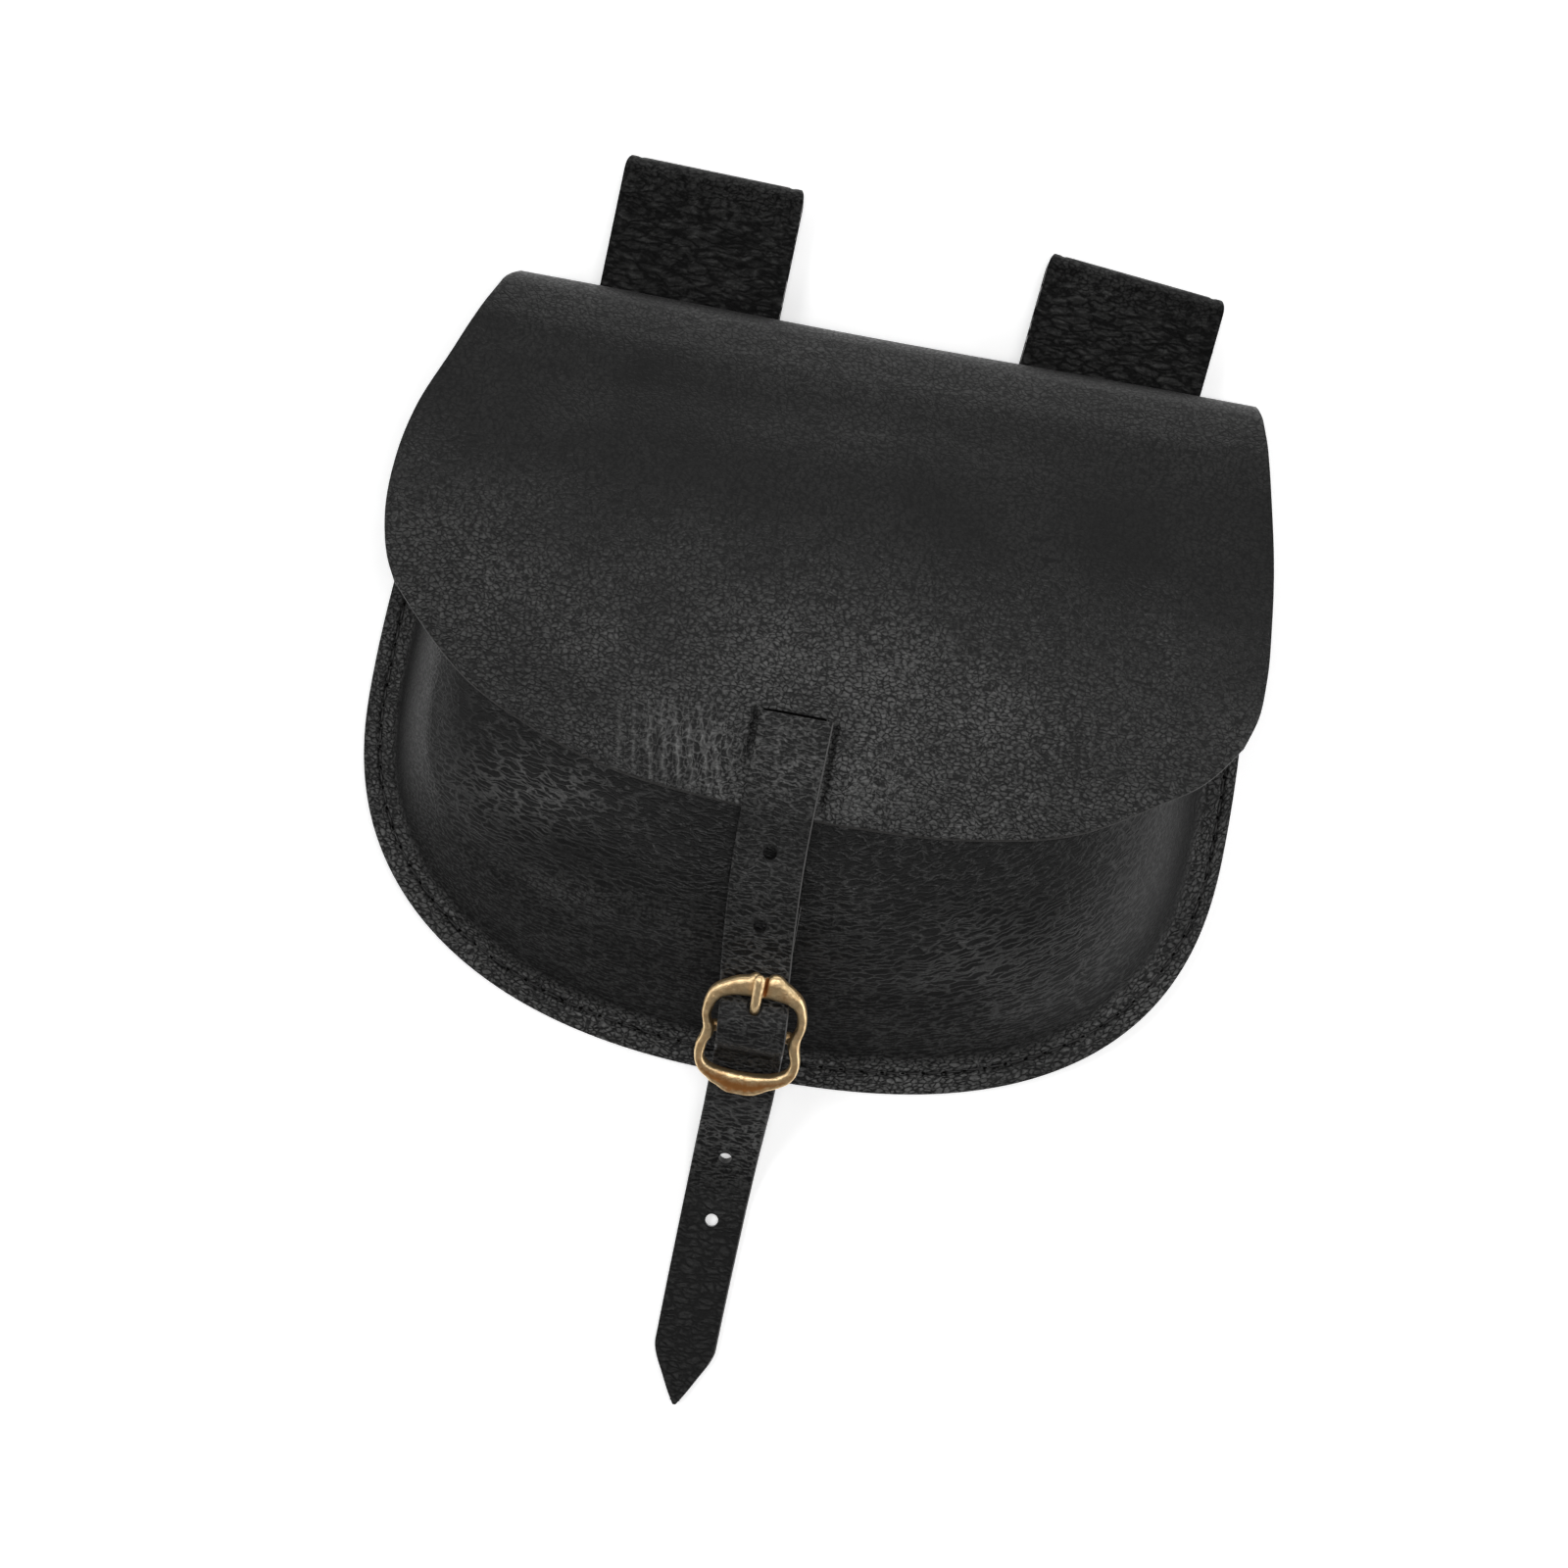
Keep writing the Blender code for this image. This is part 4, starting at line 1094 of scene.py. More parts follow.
    def flap_rows(self) -> list[Row]:
        """Lay rows down the flap.

        Returns:
            The rows, the last along its lower edge.
        """
        form, rows = self.form, []
        start = form.rise - form.fold_nose
        corners = {side: form.flap_edge(side) for side in (-1.0, 1.0)}
        steps = np.linspace(0.0, 1.0, self.flap_cells + 1)
        steps = steps * (1 + self.flap_crowding - self.flap_crowding * steps) * (1.0 - self.edge_share)
        for down in (*steps.tolist(), 1.0):
            sunk = self.edge_sunk if down == 1.0 else 0.0
            row = []
            for share in self.shares():
                y_end = start + (corners[math.copysign(1.0, share)] - start) * down
                y = start + (form.flap_edge(share) - start) * down
                x = share * form.flap_half_width(y_end, share)
                row.append(Vector((x, y, form.flap_top(x, y) + self.pulled_up(x / MM, y / MM) * MM - sunk)))
            rows.append(row)
        return rows

    def pulled_up(self, x: float, y: float) -> float:
        """Give the height of the upright wrinkles beside the strap, less the trenches along its edges.

        Args:
            x: Place across the flap in millimetres.
            y: Height on the flap in millimetres.

        Returns:
            The height in millimetres.
        """
        trenches = 0.0
        for edge, length, depth in self.strap_trenches:
            reached = ramp(y, -length, self.trench_start - length) * (1 - ramp(y, *self.trench_end))
            trenches += depth * bell(x, edge, self.trench_width) * reached
        return self.wrinkle(x, y) - trenches

    def wrinkle(self, x: float, y: float) -> float:
        """Give the height of the upright wrinkles alone.

        Args:
            x: Place across the flap in millimetres.
            y: Height on the flap in millimetres.

        Returns:
            The height in millimetres.
        """
        height = 0.0
        for number, (middle, lean, size, place) in enumerate(self.wrinkles):
            wander = self.wander * noise.noise(Vector((3.0 * number, y / self.wander_length, 0.0)))
            aside = x - middle + lean * (y - place) - wander
            broken = 0.75 + 0.5 * noise.noise(Vector((3.0 * number, y / self.break_length, 7.0)))
            along = bell(y, place, self.wrinkle_length)
            height += size * bell(aside, 0.0, self.wrinkle_width) * along * broken
        return height

    def weights(self, point: Vector) -> Weights:
        """Say how pebbled, creased, pulled and rubbed the hide is, and where light and highlights are painted
        on it.

        Args:
            point: A place on it.

        Returns:
            The weights there.
        """
        x, y = point.x / MM, point.y / MM
        if point.z <= self.form.loop_stack + 3 * self.form.leather:
            return Weights(0.6, 0.25, 0.0)
        lobe = self.lobe.at(x, y)
        pulled = min(self.pulled_left.at(x, y) + 0.45 * self.pulled_right.at(x, y), 1.0)
        smooth = ramp(y, 40, 60) * (1 - ramp(y, 78, 92))
        low, lower = 1 - ramp(y, 38, 62), 1 - ramp(y, 18, 54)
        grain = 0.40 + 0.60 * low - 0.15 * smooth + 0.8 * lobe
        # painted light: the flap's lower zone, most right of the middle, the left lobe and the pulled
        # wrinkles are paled as lit places; the even base is wear
        rubbed_and_lit = 0.22 + lower * (0.28 + 0.52 * bell(x, 18, 42)) + 0.30 * lobe + 0.15 * pulled
        # painted highlights on the crests of the upright wrinkles
        crest_highlight = min(2.9 * self.wrinkle(x, y), 1.0) ** 1.5
        return Weights(grain * (1 - 0.5 * pulled), 0.05 + 0.15 * low, pulled, 0.0, min(rubbed_and_lit, 1.3), crest_highlight)

    def build(self) -> None:
        """Lay the hide and dress it."""
        rows = self.bottom_rows() + self.side_rows() + self.nose_rows() + self.flap_rows()
        wall = self.form.leather
        piece = Sheet("back_and_flap_hide", rows, wall, self.finishes, self.weights, worn_and_lit_end=True).build()
        dress(piece, Slot.LEATHER, "back_and_flap")


@dataclass
class FrontPanel:
    """The pan-shaped front: a sewn flange round the U, a moulded wall and the crown."""

    form: PouchForm
    finishes: Sequence[Material]
    side_cells: int = 48
    turn_cells: int = 124
    flange_cells: int = 26
    wall_cells: int = 16
    crown_cells: int = 38
    groove_depth: float = 0.62 * MM
    groove_width: float = 0.46 * MM
    welt: float = 0.55 * MM
    left_crease: float = 0.8 * MM
    welt_ends: tuple[float, float] = (10 * MM, 24 * MM)
    arc_middle: tuple[float, float] = (265.0 * MM, 60.0 * MM)
    arc_radius: float = 110.0 * MM
    # zones paled as painted highlights, with more creases in them
    patch: Zone = Zone(-62, -17, 18, 10)
    fan: Zone = Zone(48, -34, 34, 18)

    def spokes(self) -> list[tuple[Vector, Vector, float, Vector, float]]:
        """Go round the front's edge.

        Returns:
            For each section its foot, its way in, its wall's run, its inner end and how low down it is.
        """
        form, spokes = self.form, []
        for foot, way, angle in form.edge_line(form.mouth, self.side_cells, self.turn_cells):
            side = form.wall_run_left if angle < math.pi / 2 else form.wall_run_right
            low = max(math.sin(angle), 0.0)
            depth = 1 - abs(2 * angle / math.pi - 1)
            inner = Vector((0.0, max(foot.y, 0.0) - form.spine_below * depth, 0.0))
            spokes.append((foot, way, side + (form.wall_run_bottom - side) * low ** 1.5, inner, low))
        return spokes

    def rows(self) -> list[Row]:
        """Lay rings from the flange's edge in to the middle.

        Returns:
            The rings.
        """
        form, seam, rings = self.form, Seam(self.form), []
        spokes = self.spokes()
        for inset in np.linspace(0.0, form.flange, self.flange_cells + 1).tolist():
            places = []
            for foot, way, *_ in spokes:
                point = foot + way * inset
                point.z = form.flange_top(point.y)
                point.z -= self.groove_depth * bell(inset, seam.inset(foot), self.groove_width)
                places.append(point)
            rings.append(places)
        for share in np.linspace(0.0, 1.0, self.wall_cells + 1)[1:].tolist():
            rings.append([self.raised(foot + way * (form.flange + share * run), share, low)
                          for foot, way, run, _, low in spokes])
        for share in np.linspace(0.0, 1.0, self.crown_cells + 1)[1:].tolist():
            places = []
            for foot, way, run, inner, low in spokes:
                shoulder = foot + way * (form.flange + run)
                point = shoulder.lerp(inner, share * (0.75 + 0.25 * share))
                way_in = 1 + (point - shoulder).length / run if share < 1 else WELL_IN
                places.append(self.raised(point, way_in, low))
            rings.append(places)
        return rings

    def raised(self, point: Vector, way_in: float, low: float) -> Vector:
        """Raise a point to the front's upper side, with a soft ridge low down and a sharp one on the left.

        Args:
            point: The point's place in plan.
            way_in: How far in from the flange, as a share of the wall's run.
            low: How low down its section is, 1 at the bottom.

        Returns:
            The raised point.
        """
        clear = ramp(abs(point.x - self.form.strap_x), *self.welt_ends)
        ridge = self.welt * bell(way_in, 1.28, 0.32) * low ** 2 * clear
        left = bell(point.y, -11 * MM, 24 * MM) if point.x < 0 else 0.0
        height = self.form.front_top(point.x, point.y, way_in)
        return Vector((point.x, point.y, height + ridge + self.left_crease * bell(way_in, 0.92, 0.13) * left))

    def weights(self, point: Vector) -> Weights:
        """Say how pebbled, creased, dry and rubbed the front is, and where light and shade are painted on it.

        Args:
            point: A place on it.

        Returns:
            The weights there.
        """
        x, y = point.x / MM, point.y / MM
        flange = 1 - ramp(point.z - self.form.flange_top(point.y), 0.5 * MM, 2.5 * MM)
        wall = 1 - ramp(point.z, 24 * MM, 33 * MM)
        patch, fan = self.patch.at(x, y), self.fan.at(x, y)
        # a soft band of painted highlight over the lower left wall
        sheen = bell(y + 0.1 * x, -45.6, 4.5) * ramp(x, -74, -54) * (1 - ramp(x, -20, -8))
        creased = (0.60 + 0.5 * patch + 0.50 * fan - 0.25 * wall) * (1 - 0.6 * sheen) * (1 - 0.7 * flange)
        shiny_foot = ramp(x, 45, 70) * (1 - ramp(-y, 46, 66))
        dry = wall * ramp(-y, 12, 40) * (1 - flange) * (1 - 0.8 * shiny_foot)
        # painted light and shade: the patch, the fan and the sheen band are paled as lit places, and the
        # front stays darker just below the flap as painted shade; the flange is paler
        rubbed_and_lit = 0.07 + 0.13 * ramp(-y, 20, 45) + 0.68 * patch + 0.22 * fan + 0.75 * flange + 0.28 * sheen
        return Weights(0.40 + 0.9 * flange, creased, 0.0, dry, rubbed_and_lit)

    def lay(self, point: Vector) -> Vector:
        """Bend the hide's pattern, so that its creases run round the front in arcs.

        Args:
            point: A place on the front.

        Returns:
            Where the pattern is read for it.
        """
        middle = self.arc_middle[point.x > 0]
        across, down = point.x, middle - point.y
        radius = self.arc_radius + middle - self.arc_middle[1]
        return Vector((math.atan2(across, down) * radius, math.hypot(across, down) - middle, point.z))

    def build(self) -> None:
        """Lay the front and dress it."""
        wall = self.form.leather
        piece = Sheet("front_hide", self.rows(), wall, self.finishes, self.weights, self.lay).build()
        dress(piece, Slot.LEATHER, "front_panel")


@dataclass
class Seam:
    """The saddle-stitched seam that holds the front's flange to the back."""

    form: PouchForm
    pitch: float = 5.1 * MM
    stitch: float = 3.9 * MM
    thread: float = 0.34 * MM
    dive: float = 0.55 * MM
    hole: tuple[float, float] = (0.50 * MM, 0.34 * MM)
    sides: int = 8
    inset_left: float = 3.9 * MM
    inset_right: float = 3.0 * MM
    inset_bottom: float = 5.2 * MM
    below_mouth: float = 2.0 * MM
    in_groove: float = 0.52 * MM
    in_back: float = 0.12 * MM
    proud: float = 0.10 * MM
    side_steps: int = 79
    turn_steps: int = 399

    def inset(self, foot: Vector) -> float:
        """Give how far in the seam is from a place on the outline."""
        side = self.inset_left if foot.x < 0 else self.inset_right
        return side + (self.inset_bottom - side) * ramp(-foot.y / self.form.depth, 0.1, 0.9)

    def stations(self) -> list[Vector]:
        """Space the stitch holes along the seam.

        Returns:
            Their places in plan, a pitch apart.
        """
        line = self.form.edge_line(self.form.mouth - self.below_mouth, self.side_steps, self.turn_steps)
        points = np.array([foot + way * self.inset(foot) for foot, way, _ in line])
        at = lengths_along(points)
        wanted = np.linspace(0.0, at[-1], int(at[-1] / self.pitch) + 1)
        return [Vector([float(np.interp(w, at, points[:, axis])) for axis in range(3)]) for w in wanted]

    def one_stitch(self) -> Object:
        """Make the thread of one stitch.

        Returns:
            The stitch, thick in the middle, with both ends going down.
        """
        sections = []
        for share in (-1.0, -0.86, -0.6, 0.0, 0.6, 0.86, 1.0):
            along, drop = share * self.stitch / 2, self.dive * abs(share) ** 4
            size = self.thread * (1.0 - 0.45 * abs(share) ** 6)
            sections.append(ring(self.sides, lambda c, s: Vector((along, size * c, 0.8 * size * s - drop))))
        return Loft("stitch", sections, False).build()

    def one_hole(self) -> Object:
        """Make the dark mouth of one stitch hole, painted shade in a shallow cup.

        Returns:
            The mouth, a shallow oval cup.
        """
        long, wide = self.hole
        sections = [ring(self.sides, lambda c, s: Vector((long * size * c, wide * size * s, depth * MM)))
                    for size, depth in ((0.25, -0.30), (1.0, 0.02), (0.7, 0.07))]
        return Loft("stitch_hole", sections, False).build()

    def sew(self, name: str, height: Callable[[float], float], face: float, finish: Material,
            hole_finish: Material) -> None:
        """Set stitches and holes along one side of the seam.

        Args:
            name: The seam's name.
            height: The height of the leather there.
            face: 1 on the seam's upper side and -1 on its lower one.
            finish: The thread's material.
            hole_finish: The material of the holes' mouths.
        """
        stitch, hole = self.one_stitch(), self.one_hole()
        stitch.data.materials.append(finish)
        hole.data.materials.append(hole_finish)
        stations, copies = self.stations(), []
        for start, end in zip(stations, stations[1:]):
            middle = (start + end) / 2
            along = Vector((end.x - start.x, end.y - start.y, height(end.y) - height(start.y))).normalized()
            aside = Vector((0.0, 0.0, face)).cross(along).normalized()
            turn = Matrix((along, aside, along.cross(aside))).transposed().to_4x4()
            lifted = Vector((middle.x, middle.y, height(middle.y) + face * self.proud))
            copies.append(self.copy(stitch, Matrix.Translation(lifted) @ turn))
            copies.append(self.copy(hole, Matrix.Translation(Vector((end.x, end.y, height(end.y)))) @ turn))
        for model in (stitch, hole):
            bpy.data.objects.remove(model, do_unlink=True)
        pick(*copies)
        bpy.ops.object.join()
        copies[0].name = copies[0].data.name = name
        dress(copies[0], Slot.LEATHER)

    def copy(self, model: Object, place: Matrix) -> Object:
        """Copy a piece with its own mesh.

        Args:
            model: The piece.
            place: Where the copy's mesh goes.

        Returns:
            The copy.
        """
        copy = bpy.data.objects.new(model.name, model.data.copy())
        copy.data.transform(place)
        bpy.context.scene.collection.objects.link(copy)
        return copy

    def build(self, finish: Material, hole_finish: Material) -> None:
        """Sew the flange's side of the seam and the back's side.

        Args:
            finish: The thread's material.
            hole_finish: The material of the holes' mouths.
        """
        form = self.form
        self.sew("seam_on_front", lambda y: form.flange_top(y) - self.in_groove, 1.0, finish, hole_finish)
        self.sew("seam_on_back", lambda y: form.back_under(y) + self.in_back, -1.0, finish, hole_finish)


@dataclass
class BeltLoop:
    """One belt loop: a wide strip bent round the belt, with both its ends under the fold."""

    name: str
    node: str
    form: PouchForm
    finishes: Sequence[Material]
    middle: float
    reach: float
    turn: float
    cut_length: float
    half_width: float = 22.5 * MM
    foot: float = 47.0 * MM
    lap: float = 19.0 * MM
    corner: float = 1.1 * MM
    crease_depth: float = 0.22 * MM
    crease_from_edge: float = 2.3 * MM
    crease_width: float = 0.55 * MM
    cells: tuple[int, int, int] = (30, 22, 104)
    across_cells: int = 84
    fold_size: tuple[float, float] = (9.0 * MM, 2.1 * MM)
    fold_depth: float = 0.24 * MM
    fold_start: tuple[float, float] = (3.5 * MM, 12 * MM)
    creased_from: tuple[float, float] = (4.0 * MM, 14.0 * MM)
    wander_size: float = 9 * MM
    valley: float = 0.16
    # where on each crease the lip takes a painted highlight
    lip: tuple[float, float] = (0.17, 0.07)

    def __post_init__(self) -> None:
        """Work out the bend's radius, the loop's top and its turn."""
        self.radius = self.form.loop_leather + self.form.belt_gap / 2
        self.top = self.form.rise + self.reach
        self.pivot = Vector((self.middle, self.top, 0.0))
        self.turned = Matrix.Rotation(self.turn, 4, "Z")

    def path(self) -> list[tuple[float, float, float]]:
        """Follow the strip's outer side.

        Returns:
            The height on the body, the height over the ground and the share of the bend at each row.
        """
        rear, bend, front = self.cells
        start, end = self.top - self.radius, self.form.rise - self.lap
        path = [(y, 0.0, 0.0) for y in np.linspace(self.foot, start, rear + 1).tolist()]
        for angle in np.radians(np.linspace(-90, 90, bend + 1))[1:-1].tolist():
            out, lift = math.cos(angle), math.sin(angle)
            path.append((start + self.radius * out, self.radius + self.radius * lift, out))
        return path + [(y, 2 * self.radius, 0.0) for y in np.linspace(start, end, front + 1).tolist()]

    def rows(self) -> list[Row]:
        """Lay rows along the strip.

        Returns:
            The rows.
        """
        rows = []
        for y, z, bend in self.path():
            half = self.half_width - self.corner * bend ** 3
            way_out = Vector((0.0, bend, (z - self.radius) / self.radius))
            row = []
            for share in np.linspace(1.0, -1.0, self.across_cells + 1).tolist():
                from_edge = (1 - abs(share)) * half
                sunk = self.crease_depth * bell(from_edge, self.crease_from_edge, self.crease_width)
                sunk = sunk if z > 0 else 0.0
                if z > self.radius:
                    sunk += self.fold_depth * self.folded(share * half, y - self.top)[0]
                point = Vector((share * half, y - self.top, z)) - way_out * sunk
                row.append(self.pivot + self.turned @ point)
            rows.append(row)
        return rows

    def folded(self, x: float, down: float) -> tuple[float, float]:
        """Say how deep the small cross folds are below the bend, and how strong the painted highlight on
        their lips is.

        Args:
            x: Place across the loop.
            down: Place along it, from its top and negative.

        Returns:
            The share of the full depth, and the share of the full painted highlight.
        """
        strong = ramp(-down, *self.fold_start)
        size = self.wander_size
        wander = 1.2 * noise.noise(Vector((x / size, down / size, 8.0)))
        long, high = self.fold_size
        wave = noise.noise(Vector((x / long + self.middle / MM, down / high + wander, 0.0)))
        return strong * max(1 - abs(wave) / self.valley, 0.0), strong * bell(wave, *self.lip)

    def weights(self, point: Vector) -> Weights:
        """Say where the loop is creased and paled: creased most below its bend, paled most on the bend,
        partly as painted light, with painted highlights on its folds' lips.

        Args:
            point: A place on it.

        Returns:
            The weights there.
        """
        flat = self.turned.inverted() @ (point - self.pivot)
        creased = ramp(-flat.y, *self.creased_from)
        # painted highlights on the lips of the cross folds
        crest_highlight = self.folded(flat.x, flat.y)[1] if point.z > self.radius else 0.0
        return Weights(0.30, 0.15 + 0.35 * creased, 0.0, 0.0, 0.26 - 0.14 * creased, 0.12 * crest_highlight)

    def build(self) -> None:
        """Lay the strip and dress it."""
        wall = self.form.loop_leather
        piece = Sheet(self.name, self.rows(), wall, self.finishes, self.weights, edge=0.5 * MM).build()
        dress(piece, Slot.LEATHER, self.node)


@dataclass
class BucklePlace:
    """Where the buckle lies: its plane, tilted to follow the front, and the sizes others need from it."""

    form: PouchForm
    width: float = 25.8 * MM
    length: float = 33.8 * MM
    thickness: float = 3.4 * MM
    edge: float = 0.7 * MM
    tilt: float = math.radians(24.0)
    below: float = 66.9 * MM
    top_bar: float = 6.4 * MM
    bottom_bar: float = 6.4 * MM
    window_corner: float = 1.0 * MM
    bar: float = 2.8 * MM
    bar_drop: float = 1.3 * MM
    strap_leather: float = 2.0 * MM
    tab_leather: float = 1.2 * MM
    tab_seat: float = 0.6 * MM
    tab_room: float = 1.0 * MM
    middle: float = 0.04 * 17.4 * MM
    prong_aside: float = -0.4 * MM

    def __post_init__(self) -> None:
        """Work out the plane from what lies under it."""
        clearance = self.form.clearance
        self.tab_stack = 2 * self.tab_leather + clearance
        self.top_y = -self.below + (self.length / 2 - self.edge) * math.cos(self.tilt)
        under_strap = self.over_front(self.top_y, self.tab_seat + self.tab_stack + clearance) + self.tab_room
        top_z = under_strap + (self.strap_leather + clearance + self.thickness / 2) / math.cos(self.tilt)
        sink = (self.length / 2 - self.edge) * math.sin(self.tilt)
        place = Matrix.Translation(Vector((self.middle, -self.below, top_z - sink)))
        self.matrix = place @ Matrix.Rotation(self.tilt, 4, "X")
        self.eye = self.bar / 2 + clearance + self.tab_leather

    def over_front(self, y: float, height: float) -> float:
        """Give the height of a wall that lies a given height above the front along the middle."""
        return self.form.front_middle(y) + height * slope_factor(self.form.front_middle, y)

    def under_top_bar(self, below: float) -> tuple[float, float]:
        """Give the place in the plane at the top bar's inner edge, a distance off the strap's underside."""
        along = self.length / 2 - self.top_bar - self.window_corner
        return along, below - self.thickness / 2 - self.form.clearance - self.strap_leather


@dataclass
class ClosingStrap:
    """The narrow strap from its slit in the flap, through the buckle, down to the ground.

    The punched holes are spaced along it from a place in the buckle's upper window, a share of the way from
    the bar to the top bar's middle.
    """

    form: PouchForm
    place: BucklePlace
    finishes: Sequence[Material]
    width: float = 17.4 * MM
    top_rise: float = 10.0 * MM
    tail: float = 84.0 * MM
    point: float = 14.5 * MM
    settle: float = 31.0 * MM
    step_down: tuple[float, float] = (4.0 * MM, 1.2 * MM)
    tab_below: float = 34.0 * MM
    hole: float = 3.2 * MM
    prong_hole: float = 4.4 * MM
    punch_depth: float = 9.0 * MM
    prong_out: float = 6.8 * MM
    hole_steps: tuple[float, ...] = (-44.2 * MM, -26.2 * MM, 21.0 * MM, 47.6 * MM, 66.0 * MM)
    across_cells: int = 26
    row_step: float = 0.95 * MM
    # share of the strap's width inside the strip along its right rim, which is painted paler as a highlight
    highlight_share: float = 0.955
    crease_depth: float = 0.24 * MM
    crease_from_edge: float = 1.7 * MM
    crease_width: float = 0.5 * MM
    rounded: float = 0.34 * MM
    slope_step: float = 0.8 * MM
    holes_share: float = 0.27
    slit_width: float = 0.38 * MM

    def __post_init__(self) -> None:
        """Draw the strap's run in plan and from the side."""
        self.aside = SmoothCurve([
            (0.00, -0.135), (0.20, -0.155), (0.32, -0.075), (0.43, 0.040),
            (0.52, 0.040), (0.66, 0.000), (0.92, -0.070), (1.00, -0.080),
        ])
        self.share = SmoothCurve([
            (0.00, 1.000), (0.20, 0.990), (0.32, 0.975), (0.43, 0.960),
            (0.52, 0.950), (0.66, 0.925), (0.92, 0.885), (1.00, 0.880),
        ])
        self.tip = SmoothCurve([(0.0, 0.05), (0.14, 0.22), (0.48, 0.57), (0.88, 0.94), (1.0, 1.0)])
        stops = np.array(self.stops())
        at = lengths_along(stops)
        y_at, z_at = SmoothCurve(zip(at, stops[:, 0])), SmoothCurve(zip(at, stops[:, 1]))
        self.fine = np.array([(y_at(a), max(z_at(a), 0.0)) for a in np.linspace(0.0, at[-1], 401).tolist()])
        self.at = lengths_along(self.fine)
        self.total = float(self.at[-1])

    def stops(self) -> list[tuple[float, float]]:
        """Give points of the strap's underside.

        Returns:
            Height on the body and height over the ground, from the sewn end to the tip.
        """
        form, place = self.form, self.place
        clearance, edge = form.clearance, -form.flap_reach
        stops = []
        for y in np.linspace(self.top_rise, edge, 5).tolist():
            stops.append((y, form.flap_top(place.middle, y) + clearance))
        stops.append((edge - self.step_down[0], stops[-1][1] - self.step_down[1]))
        over_tab = place.tab_seat + place.tab_stack + clearance
        for y in np.linspace(-self.tab_below, place.top_y, 5)[:-1].tolist():
            stops.append((y, place.over_front(y, over_tab)))
        below = -place.thickness / 2 - clearance - place.strap_leather
        over_eye = place.eye - place.bar_drop + clearance
        half, leather = place.length / 2, place.strap_leather
        for along, height in (
            (half - place.edge, below),
            (half - 0.6 * place.top_bar, below),
            place.under_top_bar(0.0),
            (self.prong_out, over_eye - 0.56 * leather),
            (0.60 * self.prong_out, over_eye + 0.06 * leather),
            (0.0, over_eye),
            (-0.55 * place.eye, over_eye - 0.24 * leather),
            (-place.eye, over_eye - 1.00 * leather),
            (-1.6 * place.eye, over_eye - 2.15 * leather),
            (-2.4 * place.eye, over_eye - 2.70 * leather),
            (-half + place.bottom_bar + place.window_corner, below + 0.3 * clearance),
            (-half + 0.6 * place.bottom_bar, below),
            (-half + place.edge, below),
        ):
            spot = place.matrix @ Vector((0.0, along, height))
            stops.append((spot.y, spot.z))
        last_y, last_z = stops[-1]
        for share, height in ((0.35, 0.55), (0.70, 0.16), (1.0, 0.0)):
            stops.append((last_y - share * self.settle, height * last_z))
        end = -form.depth - self.tail
        stops += [(y, 0.0) for y in np.linspace(last_y - self.settle, end, 5)[1:].tolist()]
        return stops

    def spot(self, at: float) -> tuple[Vector, Vector]:
        """Find a place on the strap's underside.

        Args:
            at: Its length from the sewn end.

        Returns:
            The place and the way up out of it.
        """
        wanted = [at, max(at - self.slope_step, 0.0), min(at + self.slope_step, self.total)]
        y, y_before, y_after = np.interp(wanted, self.at, self.fine[:, 0]).tolist()
        z, z_before, z_after = np.interp(wanted, self.at, self.fine[:, 1]).tolist()
        up = Vector((0.0, z_after - z_before, y_before - y_after)).normalized()
        return Vector((self.aside(at / self.total) * self.width, y, z)), up

    def half_width(self, at: float) -> float:
        """Give half the strap's width, with its pointed end, at a length from the sewn end."""
        back = min((self.total - at) / self.point, 1.0)
        return self.width / 2 * self.share(at / self.total) * self.tip(back)

    def length_to(self, along: float) -> float:
        """Give the length from the sewn end to a place that is so far up the buckle's plane."""
        y = (self.place.matrix @ Vector((0.0, along, 0.0))).y
        return float(np.interp(-y, -self.fine[:, 0], self.at))

    def rows(self) -> list[Row]:
        """Lay rows along the strap's upper side.

        Returns:
            The rows.
        """
        rows = []
        inner = np.linspace(self.highlight_share, -self.highlight_share, self.across_cells + 1).tolist()
        for at in np.linspace(0.0, self.total, round(self.total / self.row_step) + 1).tolist():
            (place, up), half = self.spot(at), self.half_width(at)
            row = []
            for share in (1.0, *inner, -1.0):
                from_edge = (1 - abs(share)) * half
                sunk = self.crease_depth * bell(from_edge, self.crease_from_edge, self.crease_width)
                rounded = self.rounded if abs(share) == 1.0 else 0.0
                top = self.place.strap_leather - sunk - rounded
                row.append(place + Vector((share * half, 0.0, 0.0)) + up * top)
            rows.append(row)
        return rows

    def weights(self, point: Vector) -> Weights:
        """Say where the strap is creased and paled: finely all over, most where it bends, least at its tip;
        the paling is partly wear and partly painted light.

        Args:
            point: A place on it.

        Returns:
            The weights there.
        """
        y = point.y / MM
        tip = ramp(-y, 104, 118)
        creased = min(0.50 + 0.40 * (bell(y, -48, 14) + bell(y, -85, 12)), 1.0)
        # paler near the slit and in bands down the tail: partly wear, partly painted light
        rubbed_and_lit = 0.35 + 0.45 * ramp(y, -16, -2) + 0.45 * bell(y, -96, 9) + 0.25 * bell(y, -55, 9)
        return Weights(0.50, creased * (1 - 0.7 * tip), 0.6 * tip, 0.4 * tip, rubbed_and_lit * (1 - 0.80 * tip))

